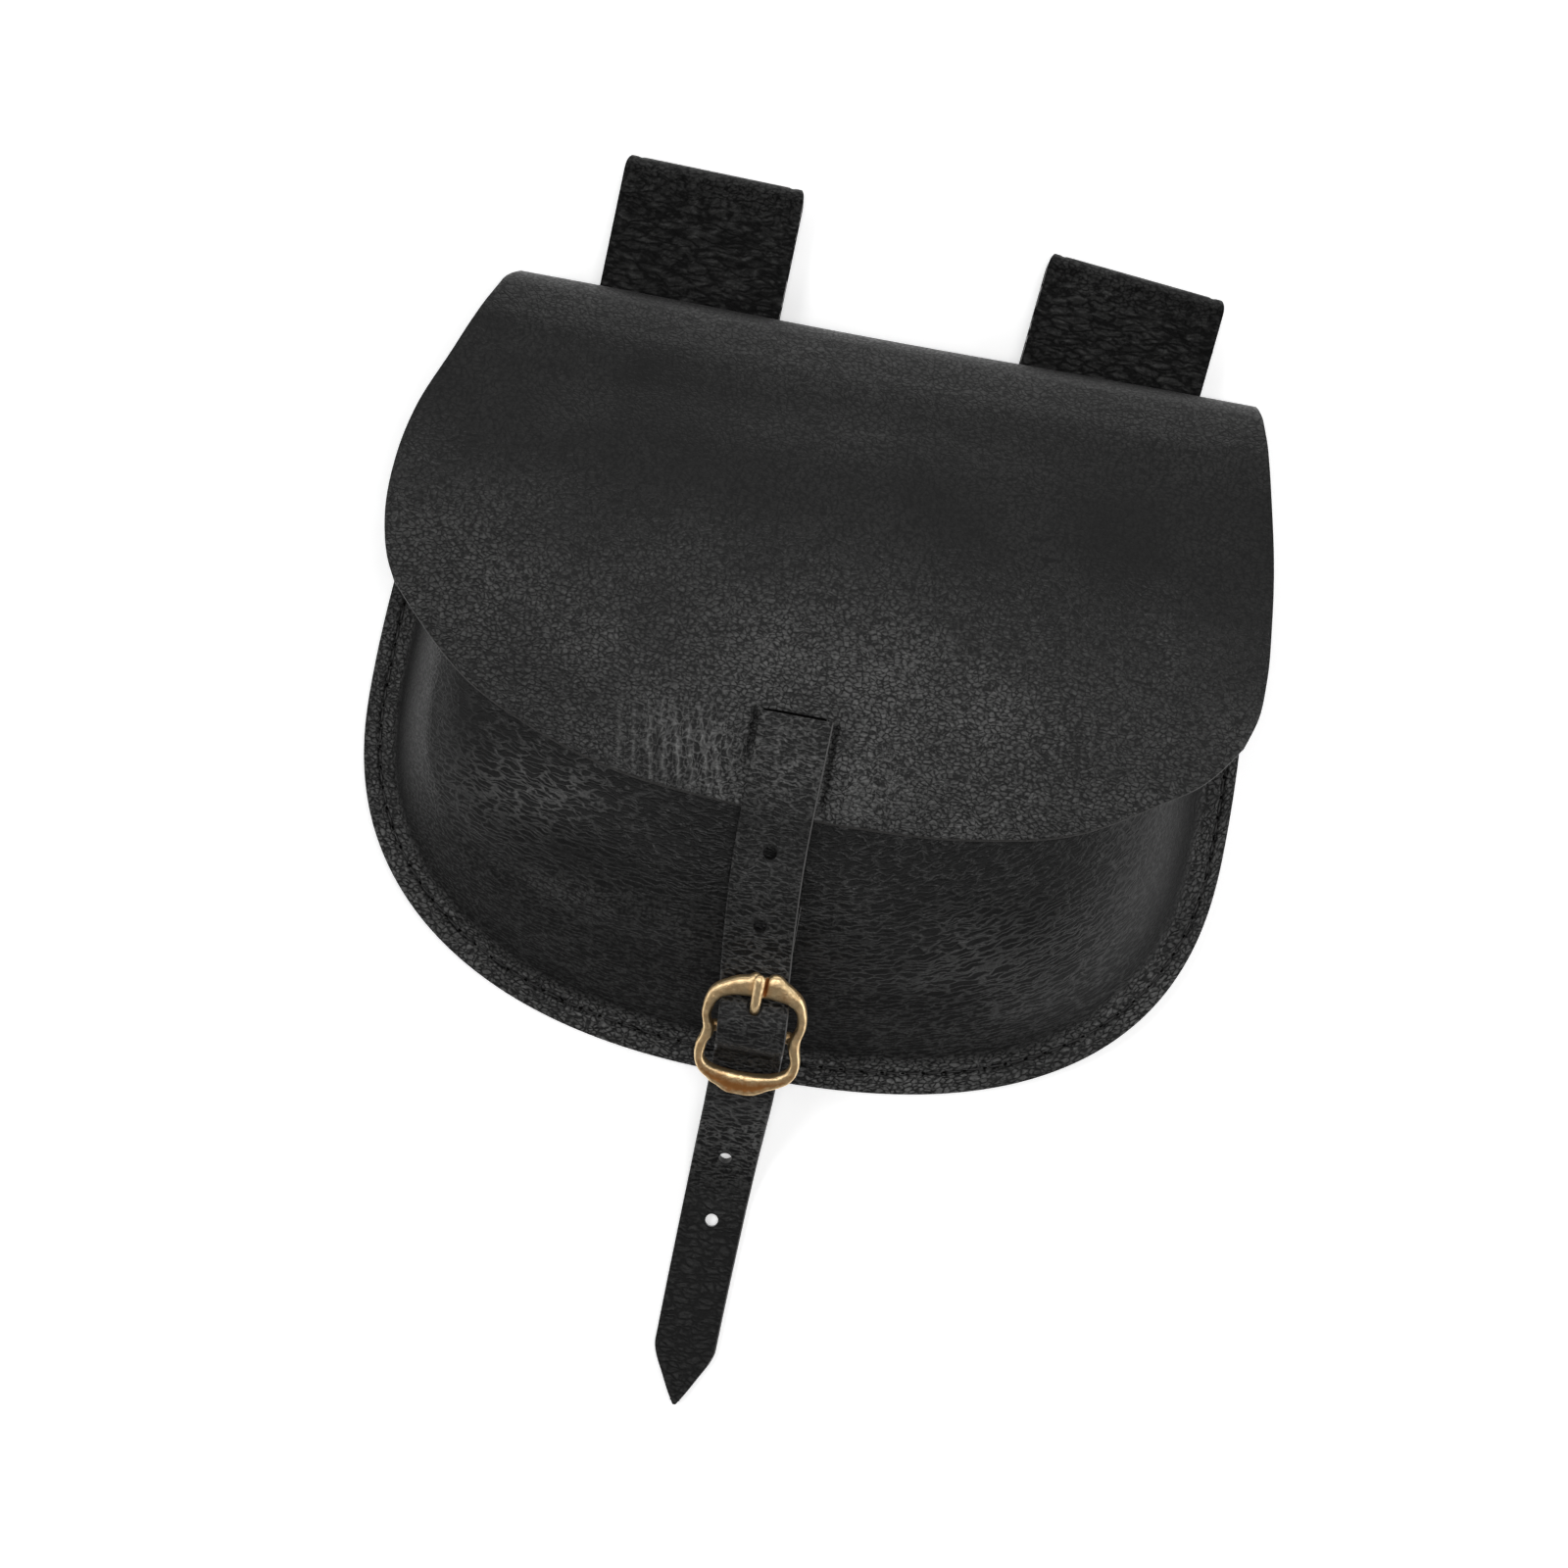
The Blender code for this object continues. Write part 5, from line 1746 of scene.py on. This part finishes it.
    def punch(self, strap: Object) -> None:
        """Punch the round holes and the prong's slot through the strap.

        Args:
            strap: The strap.
        """
        start = self.length_to(self.holes_share * (self.place.length - self.place.top_bar) / 2)
        for number, step in enumerate(self.hole_steps):
            self.cut(strap, 1.0, *self.spot(start + step))
            LOG.info("strap hole %d is %.1f mm down the strap", number, (start + step) / MM)
        place, up = self.spot(self.length_to(self.prong_out))
        place.x = self.place.middle + self.place.prong_aside
        self.cut(strap, self.prong_hole / self.hole, place, up)

    def cut(self, strap: Object, longer: float, place: Vector, up: Vector) -> None:
        """Punch one hole out of the strap, square to it.

        Args:
            strap: The strap.
            longer: How much longer than wide the hole is.
            place: Where the hole goes.
            up: The way up out of the strap there.
        """
        tool = primitive(bpy.ops.mesh.primitive_cylinder_add, vertices=28,
                         radius=self.hole / 2, depth=self.punch_depth)
        turn = Vector((0.0, 0.0, 1.0)).rotation_difference(up).to_matrix().to_4x4()
        tool.data.transform(Matrix.Translation(place) @ turn @ Matrix.Diagonal((1.0, longer, 1.0, 1.0)))
        tool.data.materials.append(self.finishes[EDGE])
        combine(strap, tool, "DIFFERENCE", "TRANSFER")

    def build_slit(self, finish: Material) -> None:
        """Make the slit in the flap that the strap's end goes into: a black sliver laid on the flap as
        painted shade.

        Args:
            finish: The black material that paints the shade in it.
        """
        place, _ = self.spot(0.0)
        half, lift = self.half_width(0.0), self.place.strap_leather
        sections = []
        for share in (-0.93, -0.8, -0.4, 0.0, 0.4, 0.72, 0.80):
            wide = self.slit_width * (1 - 0.6 * abs(share) ** 3)
            middle = Vector((place.x + share * half, place.y + 0.15 * MM, place.z + 0.3 * lift))
            sections.append(ring(8, lambda c, s: middle + Vector((0.0, wide * c, 0.25 * lift * s))))
        piece = Loft("strap_slit", sections, False).build()
        piece.data.materials.append(finish)
        dress(piece, Slot.LEATHER)

    def build(self) -> None:
        """Lay the strap, punch it and dress it."""
        wall = self.place.strap_leather
        piece = Sheet("strap_hide", self.rows(), wall, self.finishes, self.weights,
                      highlight_first_side=True).build()
        self.punch(piece)
        pick(piece)
        bpy.ops.object.shade_smooth_by_angle(angle=SMOOTH_UP_TO)
        dress(piece, Slot.LEATHER, "closing_strap")


@dataclass
class BuckleTab:
    """The plain strip under the strap that holds the buckle's bar to the front."""

    form: PouchForm
    place: BucklePlace
    finishes: Sequence[Material]
    width: float = 12.4 * MM
    slot: float = 3.8 * MM
    top_below: float = 34.0 * MM
    turn: tuple[float, float] = (math.radians(265.0), math.radians(60.0))

    def path(self) -> list[tuple[float, float]]:
        """Follow the tab's outer side: down the front, round the bar and back up on itself.

        Returns:
            Height on the body and height over the ground at each row.
        """
        place = self.place
        bar = place.matrix @ Vector((0.0, 0.0, -place.bar_drop))
        leave, start = place.top_y - place.tab_leather, -self.top_below
        path = [(y, place.over_front(y, place.tab_seat)) for y in np.linspace(start, leave, 9).tolist()]
        for angle in np.linspace(*self.turn, 19).tolist():
            path.append((bar.y + place.eye * math.cos(angle), bar.z + place.eye * math.sin(angle)))
        dip = place.matrix @ Vector((0.0, *place.under_top_bar(-2 * self.form.clearance)))
        path.append((dip.y, dip.z))
        height = place.tab_seat + place.tab_stack
        path += [(y, place.over_front(y, height)) for y in np.linspace(leave, start - 2 * MM, 9).tolist()]
        return path

    def build(self) -> None:
        """Lay the tab, cut its slot and dress it."""
        rows, shares = [], np.linspace(-0.5, 0.5, 13).tolist()
        for y, z in self.path():
            rows.append([Vector((self.place.middle + share * self.width, y, z)) for share in shares])
        wall = self.place.tab_leather
        piece = Sheet("buckle_tab_hide", rows, wall, self.finishes, edge=0.25 * MM).build()
        reach = self.place.eye + self.form.clearance
        cutter = primitive(bpy.ops.mesh.primitive_cube_add, size=1.0)
        spot = Matrix.Translation((self.place.prong_aside, 0.9 * reach, -self.place.bar_drop))
        size = Matrix.Diagonal((self.slot, 4.2 * reach, 3.2 * reach, 1.0))
        cutter.data.transform(self.place.matrix @ spot @ size)
        combine(piece, cutter, "DIFFERENCE")
        bpy.ops.object.shade_smooth_by_angle(angle=SMOOTH_UP_TO)
        dress(piece, Slot.LEATHER, "buckle_tab")


@dataclass
class Buckle:
    """Cast brass double-loop buckle with its bar and its prong.

    Its outer edge and its window go clockwise from the top, in shares of half its width and length. A step of
    the prong is its place as shares of the way to the top bar and over it, its lift and its width.
    """

    place: BucklePlace
    finish: Material
    stations: int = 150
    section_points: int = 18
    lump: float = 0.26 * MM
    lump_sizes: tuple[float, float] = (3.1 * MM, 1.4 * MM)
    pit: float = 0.6 * MM
    dish: float = 0.55 * MM
    worn: float = 0.15 * MM
    notch: float = 1.1 * MM
    notch_at: tuple[float, float] = (1.32 * MM, 0.34 * MM)
    notch_turns: tuple[float, float, int] = (0.031, 0.151, 25)
    bar_reach: float = 0.78
    prong: float = 2.5 * MM
    eye_share: float = 0.6
    slope_step: float = 0.3 * MM
    outer: Table = (
        (0.04, 0.915), (0.12, 0.93), (0.18, 0.975), (0.27, 1.0), (0.35, 0.99), (0.42, 0.945),
        (0.50, 0.90), (0.61, 0.852), (0.745, 0.77), (0.86, 0.657), (0.935, 0.527), (0.973, 0.398),
        (0.975, 0.236), (0.950, 0.107), (0.925, -0.023), (0.950, -0.152), (0.99, -0.282), (0.995, -0.411),
        (0.94, -0.585), (0.84, -0.695), (0.69, -0.775), (0.51, -0.848), (0.37, -0.915), (0.25, -0.97),
        (0.11, -0.995), (0.0, -1.0), (-0.12, -1.0), (-0.29, -0.985), (-0.40, -0.945), (-0.50, -0.896),
        (-0.636, -0.848), (-0.77, -0.767), (-0.885, -0.68), (-0.965, -0.557), (-1.0, -0.411),
        (-0.99, -0.249), (-0.943, -0.136), (-0.915, -0.023), (-0.945, 0.074), (-0.985, 0.204),
        (-0.985, 0.366), (-0.950, 0.527), (-0.885, 0.641), (-0.789, 0.722), (-0.636, 0.800),
        (-0.50, 0.859), (-0.35, 0.900), (-0.22, 0.925), (-0.15, 0.975), (-0.06, 0.975), (0.0, 0.925),
    )
    window: Table = (
        (0.0, 0.60), (0.36, 0.60), (0.55, 0.58), (0.68, 0.53), (0.755, 0.44), (0.79, 0.333),
        (0.79, 0.204), (0.745, 0.107), (0.70, 0.01), (0.70, -0.087), (0.745, -0.184), (0.80, -0.298),
        (0.805, -0.39), (0.765, -0.475), (0.67, -0.54), (0.513, -0.592), (0.264, -0.630), (0.0, -0.645),
        (-0.31, -0.638), (-0.50, -0.621), (-0.64, -0.592), (-0.75, -0.54), (-0.808, -0.46),
        (-0.808, -0.36), (-0.77, -0.2), (-0.71, -0.12), (-0.695, -0.023), (-0.71, 0.042), (-0.78, 0.120),
        (-0.81, 0.204), (-0.785, 0.333), (-0.735, 0.43), (-0.65, 0.52), (-0.50, 0.572), (-0.31, 0.595),
    )
    prong_steps: Table = (
        (0.22, 0.00, 0.00, 0.66), (0.50, 0.00, 0.12, 0.78), (0.68, 0.00, 0.38, 0.85),
        (0.87, 0.00, 0.92, 0.92), (1.00, 0.30, 1.00, 0.97), (1.00, 0.80, 0.97, 1.02),
        (1.00, 1.12, 0.90, 1.00),
    )

    def reach(self, outline: Table, turns: np.ndarray) -> np.ndarray:
        """Give how far an outline is from the middle.

        Args:
            outline: Points of the outline, as shares.
            turns: Directions, as turns clockwise from the top.

        Returns:
            The distances in metres.
        """
        points = np.array(outline) * (self.place.width / 2, self.place.length / 2)
        closed = np.vstack((points, points[:1]))
        at = lengths_along(closed)
        xs, ys = SmoothCurve(zip(at, closed[:, 0])), SmoothCurve(zip(at, closed[:, 1]))
        fine = np.array([(xs(a), ys(a)) for a in np.linspace(0.0, at[-1], 720).tolist()])
        angle = np.arctan2(fine[:, 0], fine[:, 1]) % (2 * math.pi)
        order = np.argsort(angle)
        return np.interp(turns, angle[order], np.hypot(*fine.T)[order], period=2 * math.pi)

    def frame_sections(self) -> tuple[list[Row], list[list[float]]]:
        """Shape the frame, with more sections at the notch beside the prong.

        Returns:
            The sections clockwise from the top, and how hollow the casting is at each of their points.
        """
        even = np.linspace(0.0, 2 * math.pi, self.stations, endpoint=False)
        turns = np.unique(np.concatenate((even, np.linspace(*self.notch_turns))))
        outside, inside = self.reach(self.outer, turns), self.reach(self.window, turns)
        pairs = [self.section(*each) for each in zip(turns.tolist(), outside.tolist(), inside.tolist())]
        return [points for points, _ in pairs], [hollow for _, hollow in pairs]

    def section(self, turn: float, far: float, near: float) -> tuple[Row, list[float]]:
        """Shape one section of the frame, dished in the bottom bar and lumpy from the sand.

        Args:
            turn: Its direction, clockwise from the top.
            far: How far the outer edge is from the middle.
            near: How far the window's edge is.

        Returns:
            Its points, and how hollow the casting is at each of them.
        """
        way = Vector((math.sin(turn), math.cos(turn), 0.0))
        dish = self.dish * bell(turn, math.pi, 0.75)
        coarse, small = self.lump_sizes
        points, hollow = [], []
        for angle in (2 * math.pi * side / self.section_points for side in range(self.section_points)):
            cosine, sine = math.cos(angle), math.sin(angle)
            across = math.copysign(abs(cosine) ** 0.78, cosine)
            height = math.copysign(abs(sine) ** 0.72, sine) * self.place.thickness / 2
            point = way * ((far + near) / 2 + (far - near) / 2 * across)
            dent = 0.0
            if sine > 0.2:
                notch = bell(point.x, *self.notch_at) * ramp(across, -0.9, -0.2) * ramp(way.y, 0.0, 0.5)
                dent = dish * bell(across, 0.12, 0.42) + self.worn * bell(across, 0.1, 0.5)
                dent += self.notch * notch
            rough = noise.noise(point / coarse) + 0.5 * noise.noise(point / small + way)
            point = point + way * (0.6 * self.lump * rough * abs(across))
            point.z = height * (1 + 0.10 * rough) - dent
            points.append(point)
            pit = dent / self.pit + 0.35 * max(-rough, 0.0) + (0.5 if sine < -0.2 else 0.0)
            hollow.append(min(max(pit, 0.0), 1.0))
        return points, hollow

    def bar_sections(self) -> list[Row]:
        """Shape the bar across the waist, a little thicker at its ends.

        Returns:
            Its sections from left to right.
        """
        place, sections = self.place, []
        for share in np.linspace(-1.0, 1.0, 13).tolist():
            size = place.bar / 2 * (1 + 0.25 * abs(share) ** 6)
            across = self.bar_reach * share * place.width / 2
            sections.append(ring(14, lambda c, s: Vector((across, size * c, size * s - place.bar_drop))))
        return sections

    def prong_sections(self) -> list[Row]:
        """Shape the prong, from its eye round the bar to its tip on the top bar.

        Returns:
            Its sections.
        """
        place = self.place
        clearance = place.form.clearance
        eye = place.bar / 2 + clearance + self.eye_share * self.prong / 2
        low, rest = eye - place.bar_drop, place.thickness / 2 + clearance + self.prong / 2
        inner = place.length / 2 - place.top_bar
        path = []
        for angle in np.radians(np.linspace(350, 90, 22)).tolist():
            path.append((eye * math.cos(angle), eye * math.sin(angle) - place.bar_drop, self.eye_share))
        for to_bar, over_bar, lift, width in self.prong_steps:
            path.append((inner * to_bar + place.top_bar * over_bar, low + (rest - low) * lift, width))
        at = lengths_along(np.array(path)[:, :2])
        curves = [SmoothCurve(zip(at, column)) for column in zip(*path)]
        sections = []
        fine = np.linspace(0.0, at[-1], 74).tolist()
        for step, a in enumerate(fine):
            along, height, share = (curve(a) for curve in curves)
            ahead, behind = min(a + self.slope_step, at[-1]), max(a - self.slope_step, 0.0)
            way = Vector((0.0, curves[0](ahead) - curves[0](behind), curves[1](ahead) - curves[1](behind)))
            right = Vector((1.0, 0.0, 0.0))
            up = right.cross(way.normalized())
            close = min((len(fine) - 1 - step) / 3, 1.0)
            size = self.prong / 2 * share * (0.35 + 0.65 * math.sin(close * math.pi / 2))
            middle = Vector((place.prong_aside, along, height))
            wide, high = 1.08 * size, 0.92 * size
            sections.append(ring(14, lambda c, s: middle + right * (wide * c) + up * (high * s)))
        return sections

    def finish_cast(self, piece: Object, hollows: list[float]) -> None:
        """Round a casting once more, mark its hollows and move it to its place.

        Args:
            piece: The casting.
            hollows: How hollow it is at each vertex.
        """
        layer = piece.data.attributes.new("hollow", "FLOAT", "POINT")
        layer.data.foreach_set("value", hollows)
        piece.data.materials.append(self.finish)
        piece.data.attributes.remove(piece.data.attributes["spot"])
        smooth = piece.modifiers.new("round", "SUBSURF")
        smooth.levels = smooth.render_levels = 1
        apply_all(piece)
        piece.data.transform(self.place.matrix)
        bpy.ops.object.shade_smooth()

    def hollow_of(self, piece: Object, hollows: list[list[float]]) -> list[float]:
        """Give each vertex the hollow of its section's point.

        Args:
            piece: The casting, its vertices in the order in which they were extruded.
            hollows: How hollow each section is at its points.

        Returns:
            How hollow the casting is at each vertex.
        """
        count = len(hollows[0])
        spots = [item.value for item in piece.data.attributes["spot"].data]
        return [hollows[index // count][spot] for index, spot in enumerate(spots)]

    def build(self) -> None:
        """Build the frame with its bar, and the prong."""
        sections, hollows = self.frame_sections()
        cast = Loft("buckle_cast", sections, True).build()
        self.finish_cast(cast, self.hollow_of(cast, hollows))
        bar = Loft("buckle_bar", self.bar_sections(), False).build()
        self.finish_cast(bar, [0.6] * len(bar.data.vertices))
        combine(cast, bar, "UNION")
        dress(cast, Slot.BRASS, "buckle_frame")
        pin = Loft("buckle_pin", self.prong_sections(), False).build()
        self.finish_cast(pin, [0.1] * len(pin.data.vertices))
        dress(pin, Slot.BRASS, "buckle_prong")


@dataclass(frozen=True)
class Lamp:
    """One soft box: its direction from the pouch, its distance, its size and how bright its face is."""

    name: str
    azimuth: float
    from_zenith: float
    distance: float
    wide: float
    high: float
    radiance: float

    def hang(self, target: Vector) -> None:
        """Hang the soft box.

        Args:
            target: The place that it faces.
        """
        turn, tilt = math.radians(self.azimuth), math.radians(self.from_zenith)
        way = Vector((math.sin(turn) * math.sin(tilt), math.cos(turn) * math.sin(tilt), math.cos(tilt)))
        data = bpy.data.lights.new(self.name, "AREA")
        data.shape = "RECTANGLE"
        data.size, data.size_y = self.wide, self.high
        data.energy = self.radiance * math.pi * self.wide * self.high
        lamp = bpy.data.objects.new(self.name, data)
        lamp.location = way * self.distance
        lamp.rotation_euler = (target - lamp.location).to_track_quat("-Z", "Y").to_euler()
        bpy.context.scene.collection.objects.link(lamp)


@dataclass
class Studio:
    """Pale floor, soft lamps and the camera straight above, turned as the photograph is."""

    camera_height: float = 0.800
    aim: tuple[float, float] = (-2.57 * MM, -6.37 * MM)
    roll: float = math.radians(10.5)
    view_width: float = 392.0 * MM
    sensor: float = 36.0
    lamps_face: float = 30 * MM
    floor_size: float = 9.0
    floor_height: float = -0.35 * MM
    floor_glow: float = 0.36
    world_light: float = 0.09
    lamps: tuple[Lamp, ...] = (
        Lamp("key_above", 0, 0, 1.35, 0.34, 0.34, 7.0),
        Lamp("key_right", 90, 12, 1.35, 0.34, 0.34, 6.6),
        Lamp("spark_left", 270, 32, 1.30, 0.40, 0.40, 6.5),
        Lamp("fill_front", 180, 22, 1.30, 0.40, 0.40, 2.4),
        Lamp("low_left", 258, 55, 1.40, 0.60, 0.45, 1.4),
        Lamp("low_right", 98, 55, 1.40, 0.60, 0.45, 3.0),
        Lamp("low_behind", 0, 55, 1.40, 0.60, 0.45, 1.5),
        Lamp("panel_behind", 0, 76, 1.60, 2.40, 0.60, 2.8),
        Lamp("panel_right", 90, 76, 1.60, 2.40, 0.60, 2.4),
        Lamp("panel_left", 270, 76, 1.60, 2.40, 0.60, 1.1),
    )

    def build(self) -> None:
        """Set up the floor, the lamps, the sky and the camera."""
        bpy.context.scene.view_settings.view_transform = "Standard"
        self.floor()
        self.world()
        for lamp in self.lamps:
            lamp.hang(Vector((0.0, 0.0, self.lamps_face)))
        self.camera()

    def floor(self) -> None:
        """Lay the floor just under the part."""
        floor = primitive(bpy.ops.mesh.primitive_plane_add, size=self.floor_size)
        floor.location.z = self.floor_height
        floor.name = "studio_floor"
        paper = FibreFinish("backlit_white_studio_paper", "#FAFAFA", "#FDFDFD", {
            "Roughness": 0.9, "Specular IOR Level": 0.1,
            "Emission Color": linear("#FFFFFF"), "Emission Strength": self.floor_glow,
        }, {"Scale": 2.0, "Detail": 1.0})
        floor.data.materials.append(paper.material())

    def world(self) -> None:
        """Give the scene an even pale light from all round."""
        world = bpy.data.worlds.new("pale_studio")
        world.use_nodes = True
        background = world.node_tree.nodes["Background"]
        background.inputs["Color"].default_value = linear("#FFFFFF")
        background.inputs["Strength"].default_value = self.world_light
        bpy.context.scene.world = world

    def camera(self) -> None:
        """Hang the camera over the pouch, looking straight down."""
        data = bpy.data.cameras.new("camera")
        data.sensor_width = self.sensor
        data.lens = self.sensor * self.camera_height / self.view_width
        camera = bpy.data.objects.new("camera", data)
        camera.location = (*self.aim, self.camera_height)
        camera.rotation_euler = (0.0, 0.0, self.roll)
        bpy.context.scene.collection.objects.link(camera)
        bpy.context.scene.camera = camera


def main() -> None:
    """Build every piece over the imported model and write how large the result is."""
    logging.basicConfig(level=logging.INFO, format="%(message)s")
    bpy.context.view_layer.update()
    form = PouchForm()
    place = BucklePlace(form)
    flesh = flesh_side("flesh_side_leather").material()
    edge = cut_edge("waxed_cut_edge", "#2A2725").material()
    # the two paler edge finishes also paint highlights: on the strap's right rim and on the flap's lower rim
    worn_edge_and_highlight = cut_edge("worn_cut_edge_and_highlight", "#2E2D2C").material()
    rubbed_edge_and_highlight = cut_edge("rubbed_cut_edge_and_highlight", "#3C3B3A").material()
    hide = [GrainLeather("creased_black_cowhide", gloss=0.24).material(), flesh, edge]
    flap_hide = [GrainLeather("pebbled_black_cowhide").material(), flesh, rubbed_edge_and_highlight]
    strap_grain = GrainLeather("creased_black_strap_leather", gloss=0.24, reliefs=(
        Relief("pebbled", (1.6 * MM, 1.0 * MM, 1.2 * MM), 0.08),
        Relief("creased", (4.2 * MM, 1.1 * MM, 1.6 * MM), 0.12, ridged=True),
        Relief("pulled", (3.4 * MM, 1.5 * MM, 1.8 * MM), 0.16)))
    strap_hide = [strap_grain.material(), flesh, worn_edge_and_highlight]
    loop_grain = GrainLeather("glossy_black_loop_leather", gloss=0.06, roughness=(0.28, 0.50), reliefs=(
        Relief("pebbled", (1.6 * MM, 1.0 * MM, 1.2 * MM), 0.08),
        Relief("creased", (5.4 * MM, 1.6 * MM, 2.2 * MM), 0.12)))
    loop_hide = [loop_grain.material(), flesh, edge]
    hole = deep_hole("shaded_raw_leather").material()
    BackAndFlap(form, flap_hide).build()
    FrontPanel(form, hide).build()
    Seam(form).build(WaxedThread("waxed_linen_thread").material(), hole)
    for name, node, middle, reach, turn, length in (
        ("loop_left_hide", "belt_loop_left", -46.5 * MM, 35.0 * MM, math.radians(-1.3), 0.152),
        ("loop_right_hide", "belt_loop_right", 61.0 * MM, 28.5 * MM, math.radians(-5.3), 0.139),
    ):
        BeltLoop(name, node, form, loop_hide, middle, reach, turn, length).build()
    BuckleTab(form, place, strap_hide).build()
    strap = ClosingStrap(form, place, strap_hide)
    strap.build()
    strap.build_slit(hole)
    Buckle(place, CastBrass("sand_cast_brass").material()).build()
    Studio().build()
    bpy.context.view_layer.update()


if __name__ == "__main__":
    main()
